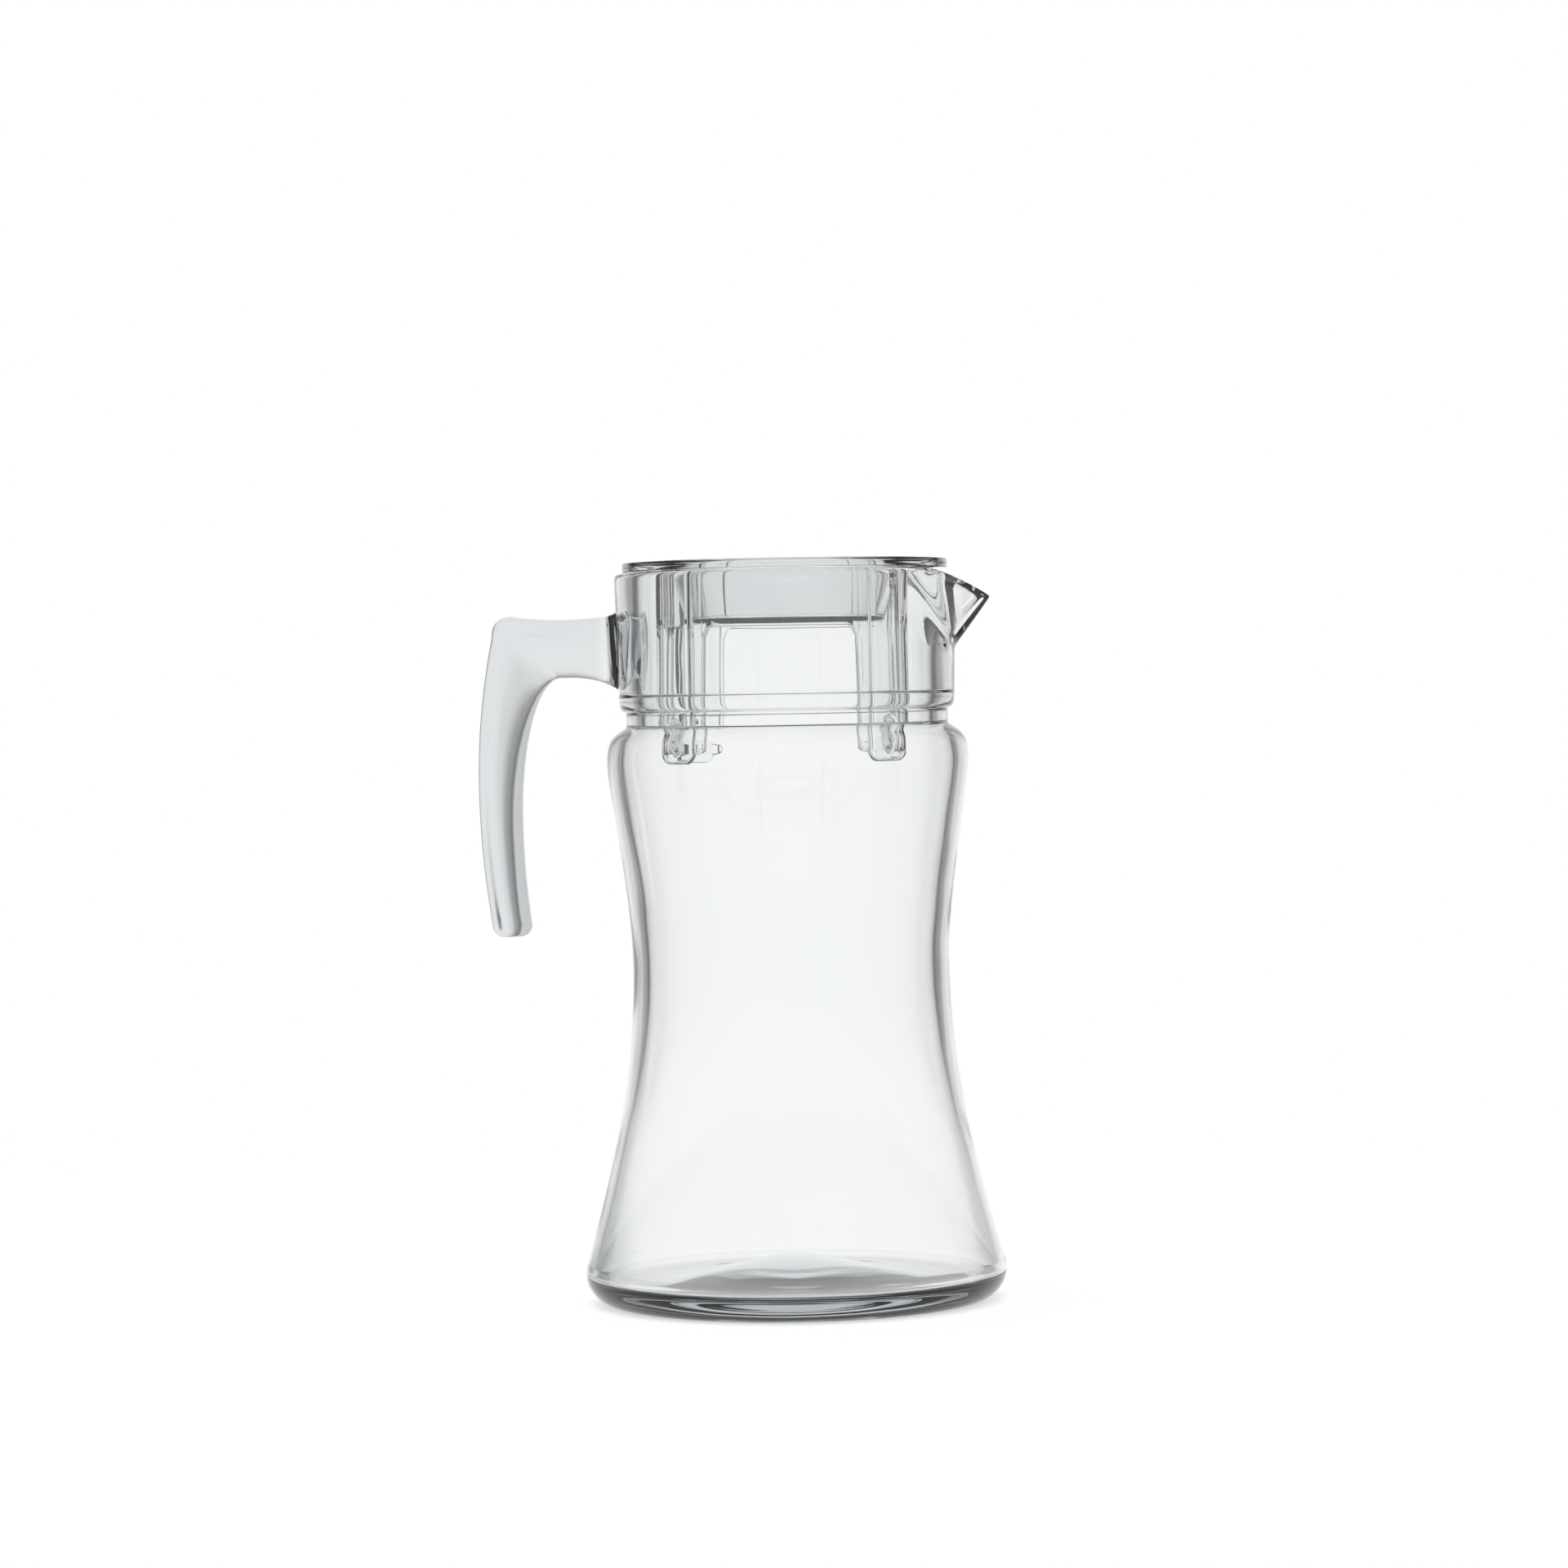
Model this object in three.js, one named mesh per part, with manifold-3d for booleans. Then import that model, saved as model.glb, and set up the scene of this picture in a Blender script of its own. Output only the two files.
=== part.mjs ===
// A glass jug with a clear lid that drops into its collar.
// Millimetres, +Z up. The origin is the centre of the underside, the beak points along +X,
// and the handle hangs on the -X side.
import * as THREE from "three";
import { mergeVertices } from "three/addons/utils/BufferGeometryUtils.js";
import Module from "manifold-3d";

// Heights of the jug, each measured up from the one before
const HEEL_HEIGHT = 9.6;
const HEEL_TO_WAIST = 94.4;
const WAIST_TO_SHOULDER = 64.5;
const SHOULDER_TO_NECK = 12.9;
const NECK_TO_COLLAR = 5.8;
const COLLAR_HEIGHT = 40;

// Radii of the jug's outside, and the throat that the lid's nubs catch under
const HEEL_RADIUS = 65.6;
const HEEL_ROUND = 9.6;
const WAIST_RADIUS = 49.3;
const THROAT_RADIUS = 44.4;
const SHOULDER_OVERHANG = 6.2;

// Glass thickness
const FLOOR_THICKNESS = 8;
const FLOOR_DOME = 2.5;
const FLOOR_CORNER = 11;
const HEEL_WALL = 4;
const WAIST_WALL = 4.6;
const SHOULDER_WALL = 4.5;
const NECK_WALL = 5.7;
const COLLAR_WALL = 6.8;
const RIM_WALL = 7.1;
const RIM_ROUND = 2;

// Bore of the collar: a ledge above the throat, and a little draft up to the rim
const THROAT_LENGTH = 7;
const LEDGE_WIDTH = 0.9;
const BORE_DRAFT = 0.7;

// Slopes and reaches of the curves between the stations
const HEEL_SLOPE = 0.286;
const HEEL_REACH = 28;
const WAIST_REACH_DOWN = 35;
const WAIST_REACH_UP = 25;
const SHOULDER_REACH_DOWN = 10;
const SHOULDER_REACH_UP = 7.5;
const SHOULDER_LIP_RUN = 4;
const SHOULDER_LIP_RISE = 1.5;
const NECK_ROUND = 2.2;
const NECK_EASE = 0.6;
const THROAT_REACH = 3.5;

// Pouring beak, pulled out of the collar
const BEAK_REACH = 11;
const BEAK_HEIGHT = 24.2;
const BEAK_DROP = 8.6;
const BEAK_DROP_POWER = 3.4;
const BEAK_LIP = 3.4;

// Handle: an arm that leaves the collar, an elbow and a grip that hangs free
const ARM_BELOW_RIM = 13.2;
const ARM_LENGTH = 43.3;
const ARM_HEIGHT = 18.8;
const ARM_HUMP = 0.7;
const ELBOW_INSET = 4.8;
const ELBOW_ROUND = 6;
const ELBOW_INNER_RUN = 12.6;
const ELBOW_INNER_DROP = 43;
const GRIP_THICKNESS = 13.3;
const GRIP_DEPTH = 17;
const GRIP_LENGTH = 99.2;
const GRIP_BULGE_DEPTH = 51;
const GRIP_END_INSET = 3.6;
const GRIP_END_THICKNESS = 12;
const GRIP_END_ROUND = 3;
const GRIP_EDGE = 4;
const ROOT_FLARE = 4.4;
const ROOT_LENGTH = 8;

// Lid: disc and bowl
const COVER_SETBACK = 2.5;
const COVER_THICKNESS = 2.8;
const COVER_ROUND = 0.9;
const LID_WALL = 1.8;
const BOWL_TO_SKIRT = 3.1;
const BOWL_DRAFT = 2.6;
const BOWL_DEPTH = 19.4;
const BOWL_ROUND = 2;

// Lid: skirt, legs and nubs
const SKIRT_DEPTH = 17.6;
const POUR_SKIRT_DEPTH = 3.6;
const LEG_STEP = 3.7;
const LEG_WIDTH = 15.4;
const LEG_ANGLE = THREE.MathUtils.degToRad(41);
const LEG_TIP_ROUND = 2.5;
const LEG_TIP_DEPTH = 4.6;
const LEG_BELOW_NUB = 8.4;
const ARCH_ROUND = 4;
const NUB_PROUD = 1.9;
const NUB_WIDTH = 6.6;
const NUB_HEIGHT = 10.6;
const NUB_BELOW_THROAT = 1.4;

// Clearances
const FUSED_GAP = 0.3;
const SLIDE_CLEARANCE = 0.3;
const SEAT_GAP = 0.3;
const MOULDING_GAP = 0.3;

// Fineness of the facets
const JUG_SEGMENTS = 48;
const LID_SEGMENTS = 48;
const SKIRT_SEGMENTS = 64;
const EDGE_STEPS = 3;
const BEND_STEPS = 4;
const WALL_STEPS = 6;
const GRIP_STEPS = 6;
const NUB_SEGMENTS = 16;
const WELD_DISTANCE = 1e-4;

// What follows from the driving sizes
const WAIST_HEIGHT = HEEL_HEIGHT + HEEL_TO_WAIST;
const SHOULDER_HEIGHT = WAIST_HEIGHT + WAIST_TO_SHOULDER;
const NECK_HEIGHT = SHOULDER_HEIGHT + SHOULDER_TO_NECK;
const COLLAR_FOOT = NECK_HEIGHT + NECK_TO_COLLAR;
const RIM_HEIGHT = COLLAR_FOOT + COLLAR_HEIGHT;
const BEAK_FOOT = RIM_HEIGHT - BEAK_HEIGHT;
const THROAT_TOP = NECK_HEIGHT + THROAT_LENGTH / 2;
const THROAT_END = NECK_HEIGHT - THROAT_LENGTH / 2;
const NECK_RADIUS = THROAT_RADIUS + NECK_WALL;
const SHOULDER_RADIUS = NECK_RADIUS + SHOULDER_OVERHANG;
const COLLAR_BORE = THROAT_RADIUS + LEDGE_WIDTH;
const RIM_BORE = COLLAR_BORE + BORE_DRAFT;
const COLLAR_FOOT_RADIUS = COLLAR_BORE + COLLAR_WALL;
const RIM_RADIUS = RIM_BORE + RIM_WALL;
const COVER_SEAT = RIM_HEIGHT + SEAT_GAP;
const COVER_TOP = COVER_SEAT + COVER_THICKNESS;
const CAGE_TOP = COVER_SEAT - MOULDING_GAP;
const SKIRT_FOOT = COVER_SEAT - SKIRT_DEPTH;
const POUR_SKIRT_FOOT = COVER_SEAT - POUR_SKIRT_DEPTH;
const NUB_CENTRE = THROAT_END - NUB_BELOW_THROAT;
const LEG_TIP = NUB_CENTRE - LEG_BELOW_NUB;
const LEG_FACE = THROAT_RADIUS - SLIDE_CLEARANCE - NUB_PROUD;
const SKIRT_RADIUS = LEG_FACE - LEG_STEP;

const wasm = await Module();
wasm.setup();

const at = (x, y) => new THREE.Vector2(x, y);

// Points of a cubic curve, without its first point, which the run before it already has
function cubic(from, control1, control2, to, steps) {
  return new THREE.CubicBezierCurve(from, control1, control2, to).getPoints(steps).slice(1);
}

// Points of a rounded corner between two directions, again without the first point
function corner(from, vertex, to, steps) {
  return new THREE.QuadraticBezierCurve(from, vertex, to).getPoints(steps).slice(1);
}

// A closed solid turned about +Z from a profile of (radius, height) that starts and ends on the axis
function turned(profile, segments) {
  return new THREE.LatheGeometry(profile, segments).rotateX(Math.PI / 2);
}

function solidOf(geometry) {
  const bare = geometry.clone();
  bare.deleteAttribute("normal");
  bare.deleteAttribute("uv");
  const merged = mergeVertices(bare, WELD_DISTANCE);
  return new wasm.Manifold(
    new wasm.Mesh({
      numProp: 3,
      vertProperties: new Float32Array(merged.attributes.position.array),
      triVerts: new Uint32Array(merged.index.array),
    }),
  );
}

function geometryOf(solid) {
  const mesh = solid.getMesh();
  const geometry = new THREE.BufferGeometry();
  geometry.setAttribute("position", new THREE.BufferAttribute(mesh.vertProperties, 3));
  geometry.setIndex(new THREE.BufferAttribute(mesh.triVerts, 1));
  geometry.computeVertexNormals();
  return geometry;
}

// The collar leans out a little from its foot to the rim
function collarRadiusAt(z) {
  const share = (z - COLLAR_FOOT) / COLLAR_HEIGHT;
  return THREE.MathUtils.lerp(COLLAR_FOOT_RADIUS, RIM_RADIUS, share);
}

// Jug: side view of the outside, from the underside's centre to the top of the rim
function outsideProfile() {
  const heel = at(HEEL_RADIUS, HEEL_HEIGHT);
  const waist = at(WAIST_RADIUS, WAIST_HEIGHT);
  const shoulder = at(SHOULDER_RADIUS, SHOULDER_HEIGHT);
  const shoulderTop = at(NECK_RADIUS + NECK_EASE, NECK_HEIGHT - NECK_ROUND);
  const base = HEEL_RADIUS - HEEL_ROUND;
  const heelArc = new THREE.EllipseCurve(base, HEEL_HEIGHT, HEEL_ROUND, HEEL_HEIGHT, -Math.PI / 2, 0);
  const wallLow = cubic(
    heel,
    at(HEEL_RADIUS - HEEL_SLOPE * HEEL_REACH, HEEL_HEIGHT + HEEL_REACH),
    at(WAIST_RADIUS, WAIST_HEIGHT - WAIST_REACH_DOWN),
    waist,
    WALL_STEPS,
  );
  const wallHigh = cubic(
    waist,
    at(WAIST_RADIUS, WAIST_HEIGHT + WAIST_REACH_UP),
    at(SHOULDER_RADIUS, SHOULDER_HEIGHT - SHOULDER_REACH_DOWN),
    shoulder,
    WALL_STEPS,
  );
  const shoulderArc = cubic(
    shoulder,
    at(SHOULDER_RADIUS, SHOULDER_HEIGHT + SHOULDER_REACH_UP),
    at(shoulderTop.x + SHOULDER_LIP_RUN, shoulderTop.y - SHOULDER_LIP_RISE),
    shoulderTop,
    BEND_STEPS,
  );
  const neck = new THREE.SplineCurve([
    shoulderTop,
    at(NECK_RADIUS, NECK_HEIGHT),
    at(COLLAR_FOOT_RADIUS, COLLAR_FOOT),
    at(COLLAR_FOOT_RADIUS, COLLAR_FOOT + RIM_ROUND),
  ]);
  const collarHeights = [BEAK_FOOT, (BEAK_FOOT + RIM_HEIGHT) / 2, RIM_HEIGHT - RIM_ROUND];
  const collar = collarHeights.map((z) => at(collarRadiusAt(z), z));
  const rimTop = at(RIM_RADIUS - RIM_ROUND, RIM_HEIGHT);
  const rim = corner(collar.at(-1), at(RIM_RADIUS, RIM_HEIGHT), rimTop, EDGE_STEPS);
  return [
    at(0, 0),
    ...heelArc.getPoints(BEND_STEPS),
    ...wallLow,
    ...wallHigh,
    ...shoulderArc,
    ...neck.getPoints(WALL_STEPS).slice(1),
    ...collar,
    ...rim,
  ];
}

// Jug: side view of the inside, from the rim down to the middle of the floor
function insideProfile() {
  const shoulderIn = at(SHOULDER_RADIUS - SHOULDER_WALL, SHOULDER_HEIGHT);
  const waistIn = at(WAIST_RADIUS - WAIST_WALL, WAIST_HEIGHT);
  const footHeight = FLOOR_THICKNESS + FLOOR_CORNER;
  const wallFoot = at(HEEL_RADIUS - HEEL_SLOPE * (footHeight - HEEL_HEIGHT) - HEEL_WALL, footHeight);
  const rimTop = at(RIM_BORE + RIM_ROUND, RIM_HEIGHT);
  const rimFoot = at(RIM_BORE, RIM_HEIGHT - RIM_ROUND);
  const rim = corner(rimTop, at(RIM_BORE, RIM_HEIGHT), rimFoot, EDGE_STEPS);
  const bore = [
    at((RIM_BORE + COLLAR_BORE) / 2, (RIM_HEIGHT + BEAK_FOOT) / 2),
    at(COLLAR_BORE, BEAK_FOOT),
    at(COLLAR_BORE, THROAT_TOP + THROAT_LENGTH / 2),
    at(THROAT_RADIUS, THROAT_TOP),
    at(THROAT_RADIUS, THROAT_END),
  ];
  const flare = cubic(
    bore.at(-1),
    at(THROAT_RADIUS, THROAT_END - THROAT_REACH),
    at(shoulderIn.x, SHOULDER_HEIGHT + SHOULDER_REACH_UP),
    shoulderIn,
    BEND_STEPS,
  );
  const wallHigh = cubic(
    shoulderIn,
    at(shoulderIn.x, SHOULDER_HEIGHT - SHOULDER_REACH_DOWN),
    at(waistIn.x, WAIST_HEIGHT + WAIST_REACH_UP),
    waistIn,
    BEND_STEPS,
  );
  const wallLow = cubic(
    waistIn,
    at(waistIn.x, WAIST_HEIGHT - WAIST_REACH_DOWN),
    at(wallFoot.x - HEEL_SLOPE * HEEL_REACH, footHeight + HEEL_REACH),
    wallFoot,
    WALL_STEPS,
  );
  const floorEdge = at(wallFoot.x - FLOOR_CORNER, FLOOR_THICKNESS);
  const cornerVertex = at(wallFoot.x + HEEL_SLOPE * FLOOR_CORNER, FLOOR_THICKNESS);
  const floorCorner = corner(wallFoot, cornerVertex, floorEdge, BEND_STEPS);
  const dome = Array.from({ length: EDGE_STEPS }, (_, k) => {
    const share = 1 - (k + 1) / EDGE_STEPS;
    return at(share * floorEdge.x, FLOOR_THICKNESS + FLOOR_DOME * (1 - share * share));
  });
  return [rimTop, ...rim, ...bore, ...flare, ...wallHigh, ...wallLow, ...floorCorner, ...dome];
}

// The beak in plan: two straight sides that leave a circle of this radius and meet at the tip
function beakPull(radius, tip, azimuth) {
  const touch = Math.acos(radius / tip);
  const away = Math.abs(azimuth);
  return away < touch ? radius / Math.cos(touch - away) - radius : 0;
}

// The rim sinks towards the tip of the beak
function beakSink(azimuth) {
  const touch = Math.acos(RIM_RADIUS / (RIM_RADIUS + BEAK_REACH));
  const share = Math.max(0, 1 - Math.abs(azimuth) / touch);
  return BEAK_DROP * Math.pow(share, BEAK_DROP_POWER);
}

function jugBody() {
  const geometry = turned([...outsideProfile(), ...insideProfile()], JUG_SEGMENTS);
  const position = geometry.attributes.position;
  const tip = RIM_RADIUS + BEAK_REACH;
  for (let i = 0; i < position.count; i++) {
    const z = position.getZ(i);
    const climb = (z - BEAK_FOOT) / BEAK_HEIGHT;
    if (climb <= 0) continue;
    const radius = Math.hypot(position.getX(i), position.getY(i));
    const azimuth = Math.atan2(position.getY(i), position.getX(i));
    const depth = THREE.MathUtils.clamp((RIM_RADIUS - radius) / RIM_WALL, 0, 1);
    const pulled = radius + climb * beakPull(radius, tip - depth * BEAK_LIP, azimuth);
    const sunk = z - climb * beakSink(azimuth);
    position.setXYZ(i, pulled * Math.cos(azimuth), pulled * Math.sin(azimuth), sunk);
  }
  return geometry;
}

// The outer edge of the handle in the side view, station by station from the collar to the end
function handleOuterEdge(armTop) {
  const reach = RIM_RADIUS + ARM_LENGTH;
  const flare = at(-RIM_RADIUS - ROOT_LENGTH, armTop);
  const elbow = at(-reach + ELBOW_INSET, armTop - ELBOW_ROUND);
  const hump = at(elbow.x + ELBOW_ROUND, armTop + ARM_HUMP);
  const bulge = at(-reach, armTop - GRIP_BULGE_DEPTH);
  const end = at(-reach + GRIP_END_INSET, armTop - GRIP_LENGTH + GRIP_END_ROUND);
  const root = at(-NECK_RADIUS, armTop + ROOT_FLARE);
  return [
    root,
    ...corner(root, at((root.x + flare.x) / 2, armTop), flare, EDGE_STEPS),
    ...corner(flare, at((flare.x + hump.x) / 2, armTop - 2 * ARM_HUMP), hump, EDGE_STEPS),
    ...corner(hump, at(elbow.x, hump.y), elbow, BEND_STEPS),
    ...corner(elbow, at(bulge.x, (elbow.y + bulge.y) / 2), bulge, GRIP_STEPS),
    ...corner(bulge, at(bulge.x, (bulge.y + end.y) / 2), end, BEND_STEPS),
  ];
}

// The inner edge, with as many stations: the elbow is a quarter of a tall ellipse
function handleInnerEdge(armTop) {
  const armFoot = armTop - ARM_HEIGHT;
  const reach = RIM_RADIUS + ARM_LENGTH;
  const flare = at(-RIM_RADIUS - ROOT_LENGTH, armFoot);
  const bulge = at(-reach + GRIP_THICKNESS, armFoot - ELBOW_INNER_DROP);
  const bend = at(bulge.x + ELBOW_INNER_RUN, armFoot);
  const end = at(-reach + GRIP_END_INSET + GRIP_END_THICKNESS, armTop - GRIP_LENGTH + GRIP_END_ROUND);
  const root = at(-NECK_RADIUS, armFoot - ROOT_FLARE);
  const elbow = new THREE.EllipseCurve(
    bend.x,
    bulge.y,
    ELBOW_INNER_RUN,
    ELBOW_INNER_DROP,
    Math.PI / 2,
    Math.PI,
  );
  return [
    root,
    ...corner(root, at((root.x + flare.x) / 2, armFoot), flare, EDGE_STEPS),
    ...corner(flare, at((flare.x + bend.x) / 2, armFoot), bend, EDGE_STEPS),
    ...elbow.getPoints(BEND_STEPS + GRIP_STEPS).slice(1),
    ...corner(bulge, at(bulge.x, (bulge.y + end.y) / 2), end, BEND_STEPS),
  ];
}

// A ring of points round a rounded oblong: half sizes a along the side view and b along Y
function oblongRing(middle, along, a, b, round) {
  const ring = [];
  for (const [side, end] of [[1, 1], [-1, 1], [-1, -1], [1, -1]]) {
    for (let k = 0; k <= EDGE_STEPS; k++) {
      const quarter = (k / EDGE_STEPS) * (Math.PI / 2);
      const turn = side * end > 0 ? quarter : Math.PI / 2 - quarter;
      const u = side * (a - round + round * Math.cos(turn));
      const v = end * (b - round + round * Math.sin(turn));
      ring.push(new THREE.Vector3(middle.x + u * along.x, v, middle.y + u * along.y));
    }
  }
  return ring;
}

// A closed skin over a row of rings, with a fan over each end
function loft(rings) {
  const count = rings[0].length;
  const centre = (ring) => ring.reduce((sum, p) => sum.add(p), new THREE.Vector3()).divideScalar(count);
  const points = [...rings.flat(), centre(rings[0]), centre(rings.at(-1))];
  const index = [];
  const first = rings.length * count;
  const lastRing = (rings.length - 1) * count;
  for (let k = 0; k < count; k++) {
    const next = (k + 1) % count;
    for (let j = 0; j < lastRing; j += count) {
      index.push(j + k, j + next, j + count + k, j + next, j + count + next, j + count + k);
    }
    index.push(first, next, k, first + 1, lastRing + k, lastRing + next);
  }
  return new THREE.BufferGeometry().setFromPoints(points).setIndex(index);
}

function handle() {
  const armTop = RIM_HEIGHT - ARM_BELOW_RIM;
  const outer = handleOuterEdge(armTop);
  const inner = handleInnerEdge(armTop);
  const rootEnd = RIM_RADIUS + ROOT_LENGTH;
  const rings = outer.map((edge, j) => {
    const across = edge.clone().sub(inner[j]);
    const middle = edge.clone().add(inner[j]).divideScalar(2);
    const nearRoot = Math.max(0, (rootEnd + middle.x) / (rootEnd - NECK_RADIUS));
    const halfDepth = GRIP_DEPTH / 2 + ROOT_FLARE * nearRoot * nearRoot;
    return oblongRing(middle, across.clone().normalize(), across.length() / 2, halfDepth, GRIP_EDGE);
  });
  const endAcross = outer.at(-1).clone().sub(inner.at(-1));
  const endMiddle = outer.at(-1).clone().add(inner.at(-1)).divideScalar(2);
  for (let k = 1; k <= EDGE_STEPS; k++) {
    const turn = (k / EDGE_STEPS) * (Math.PI / 2);
    const inset = GRIP_END_ROUND * (1 - Math.cos(turn));
    const middle = at(endMiddle.x, endMiddle.y - GRIP_END_ROUND * Math.sin(turn));
    const half = endAcross.length() / 2 - inset;
    const along = endAcross.clone().normalize();
    rings.push(oblongRing(middle, along, half, GRIP_DEPTH / 2 - inset, GRIP_EDGE - inset));
  }
  const collarCut = turned(
    [
      at(0, NECK_HEIGHT),
      at(collarRadiusAt(NECK_HEIGHT) + FUSED_GAP, NECK_HEIGHT),
      at(RIM_RADIUS + FUSED_GAP, RIM_HEIGHT),
      at(0, RIM_HEIGHT),
    ],
    JUG_SEGMENTS,
  );
  return geometryOf(solidOf(loft(rings)).subtract(solidOf(collarCut)));
}

// Lid cover: a disc that sits on the rim, with a bowl sunk in its middle
function lidCover() {
  const edge = RIM_RADIUS - COVER_SETBACK;
  const mouth = SKIRT_RADIUS - LID_WALL - BOWL_TO_SKIRT;
  const foot = mouth - BOWL_DRAFT;
  const mouthIn = mouth - LID_WALL;
  const footIn = foot - LID_WALL;
  const under = COVER_TOP - BOWL_DEPTH;
  const floor = under + LID_WALL;
  const footStart = at(foot - BOWL_ROUND, under);
  const footInStart = at(footIn, floor + BOWL_ROUND);
  const profile = [
    at(0, under),
    footStart,
    ...corner(footStart, at(foot, under), at(foot, under + BOWL_ROUND), EDGE_STEPS),
    at(mouth, COVER_SEAT),
    at(edge - COVER_ROUND, COVER_SEAT),
    at(edge, COVER_SEAT + COVER_ROUND),
    at(edge, COVER_TOP - COVER_ROUND),
    at(edge - COVER_ROUND, COVER_TOP),
    at(mouthIn + COVER_ROUND, COVER_TOP),
    at(mouthIn, COVER_TOP - COVER_ROUND),
    footInStart,
    ...corner(footInStart, at(footIn, floor), at(footIn - BOWL_ROUND, floor), EDGE_STEPS),
    at(0, floor),
  ];
  return turned(profile, LID_SEGMENTS);
}

// Lid cage: a thin wall that runs round the skirt and steps out at each leg
const LEG_AZIMUTHS = [1, -1].flatMap((side) => [side * LEG_ANGLE, side * (Math.PI - LEG_ANGLE)]);

// A round column of the skirt's radius with a square pilaster for each leg, from the leg tips to the cover
function pilasterColumn(skirt, face, width) {
  const height = CAGE_TOP - LEG_TIP;
  const middle = (CAGE_TOP + LEG_TIP) / 2;
  const round = new THREE.CylinderGeometry(skirt, skirt, height, SKIRT_SEGMENTS)
    .rotateX(Math.PI / 2)
    .translate(0, 0, middle);
  return LEG_AZIMUTHS.reduce((column, azimuth) => {
    const pilaster = new THREE.BoxGeometry(face, width, height).translate(face / 2, 0, middle);
    return column.add(solidOf(pilaster.rotateZ(azimuth)));
  }, solidOf(round));
}

// The outline of one leg seen from outside: round tip corners, and an arch on each side under the skirt
function legSlab(azimuth) {
  const half = LEG_WIDTH / 2;
  const outline = new THREE.Shape();
  outline.moveTo(half + ARCH_ROUND, CAGE_TOP);
  outline.lineTo(-half - ARCH_ROUND, CAGE_TOP);
  outline.lineTo(-half - ARCH_ROUND, SKIRT_FOOT);
  outline.quadraticCurveTo(-half, SKIRT_FOOT, -half, SKIRT_FOOT - ARCH_ROUND);
  outline.lineTo(-half, LEG_TIP + LEG_TIP_ROUND);
  outline.quadraticCurveTo(-half, LEG_TIP, -half + LEG_TIP_ROUND, LEG_TIP);
  outline.lineTo(half - LEG_TIP_ROUND, LEG_TIP);
  outline.quadraticCurveTo(half, LEG_TIP, half, LEG_TIP + LEG_TIP_ROUND);
  outline.lineTo(half, SKIRT_FOOT - ARCH_ROUND);
  outline.quadraticCurveTo(half, SKIRT_FOOT, half + ARCH_ROUND, SKIRT_FOOT);
  outline.closePath();
  const reach = LEG_FACE + NUB_PROUD;
  const slab = new THREE.ExtrudeGeometry(outline, {
    depth: reach,
    curveSegments: BEND_STEPS,
    bevelEnabled: false,
  });
  // The drawing's x runs along +Y and its y runs up, so the depth runs out along +X
  slab.applyMatrix4(
    new THREE.Matrix4().makeBasis(
      new THREE.Vector3(0, 1, 0),
      new THREE.Vector3(0, 0, 1),
      new THREE.Vector3(1, 0, 0),
    ),
  );
  return solidOf(slab.rotateZ(azimuth));
}

function nub(azimuth) {
  const ball = new THREE.SphereGeometry(1, NUB_SEGMENTS, NUB_SEGMENTS / 2)
    .scale(NUB_PROUD, NUB_WIDTH / 2, NUB_HEIGHT / 2)
    .translate(LEG_FACE, 0, NUB_CENTRE)
    .rotateZ(azimuth);
  return solidOf(ball);
}

function lidCage() {
  const wall = pilasterColumn(SKIRT_RADIUS, LEG_FACE, LEG_WIDTH).subtract(
    pilasterColumn(SKIRT_RADIUS - LID_WALL, LEG_FACE - LID_WALL, LEG_WIDTH - 2 * LID_WALL),
  );
  const bandHeight = CAGE_TOP - SKIRT_FOOT;
  const band = new THREE.CylinderGeometry(LEG_FACE * 2, LEG_FACE * 2, bandHeight, LID_SEGMENTS)
    .rotateX(Math.PI / 2)
    .translate(0, 0, CAGE_TOP - bandHeight / 2);
  const pourHeight = POUR_SKIRT_FOOT - SKIRT_FOOT;
  const pourWidth = 2 * (SKIRT_RADIUS * Math.sin(LEG_ANGLE) - LEG_WIDTH / 2);
  const pourCut = new THREE.BoxGeometry(LEG_FACE * 2, pourWidth, pourHeight).translate(
    LEG_FACE,
    0,
    SKIRT_FOOT + pourHeight / 2,
  );
  const coneTop = SKIRT_RADIUS - LID_WALL;
  const coneFoot = LEG_FACE - LEG_TIP_DEPTH;
  const inside = new THREE.CylinderGeometry(coneTop, coneFoot, SKIRT_FOOT - LEG_TIP, SKIRT_SEGMENTS)
    .rotateX(Math.PI / 2)
    .translate(0, 0, (SKIRT_FOOT + LEG_TIP) / 2);
  let kept = solidOf(band).subtract(solidOf(pourCut));
  for (const azimuth of LEG_AZIMUTHS) kept = kept.add(legSlab(azimuth));
  let cage = wall.intersect(kept).subtract(solidOf(inside));
  for (const azimuth of LEG_AZIMUTHS) cage = cage.add(nub(azimuth));
  return geometryOf(cage);
}

function addPiece(group, name, geometry, look) {
  const mesh = new THREE.Mesh(geometry, new THREE.MeshStandardMaterial(look));
  mesh.name = name;
  group.add(mesh);
}

const clearGlass = { color: 0xeef2f4, roughness: 0.03, metalness: 0, transparent: true, opacity: 0.35 };
const clearPlastic = { color: 0xe6e8e9, roughness: 0.06, metalness: 0, transparent: true, opacity: 0.4 };

const jug = new THREE.Group();
addPiece(jug, "jug_body", jugBody(), clearGlass);
addPiece(jug, "handle", handle(), clearGlass);
addPiece(jug, "lid_cover", lidCover(), clearPlastic);
addPiece(jug, "lid_cage", lidCage(), clearPlastic);

export default jug;
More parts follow.
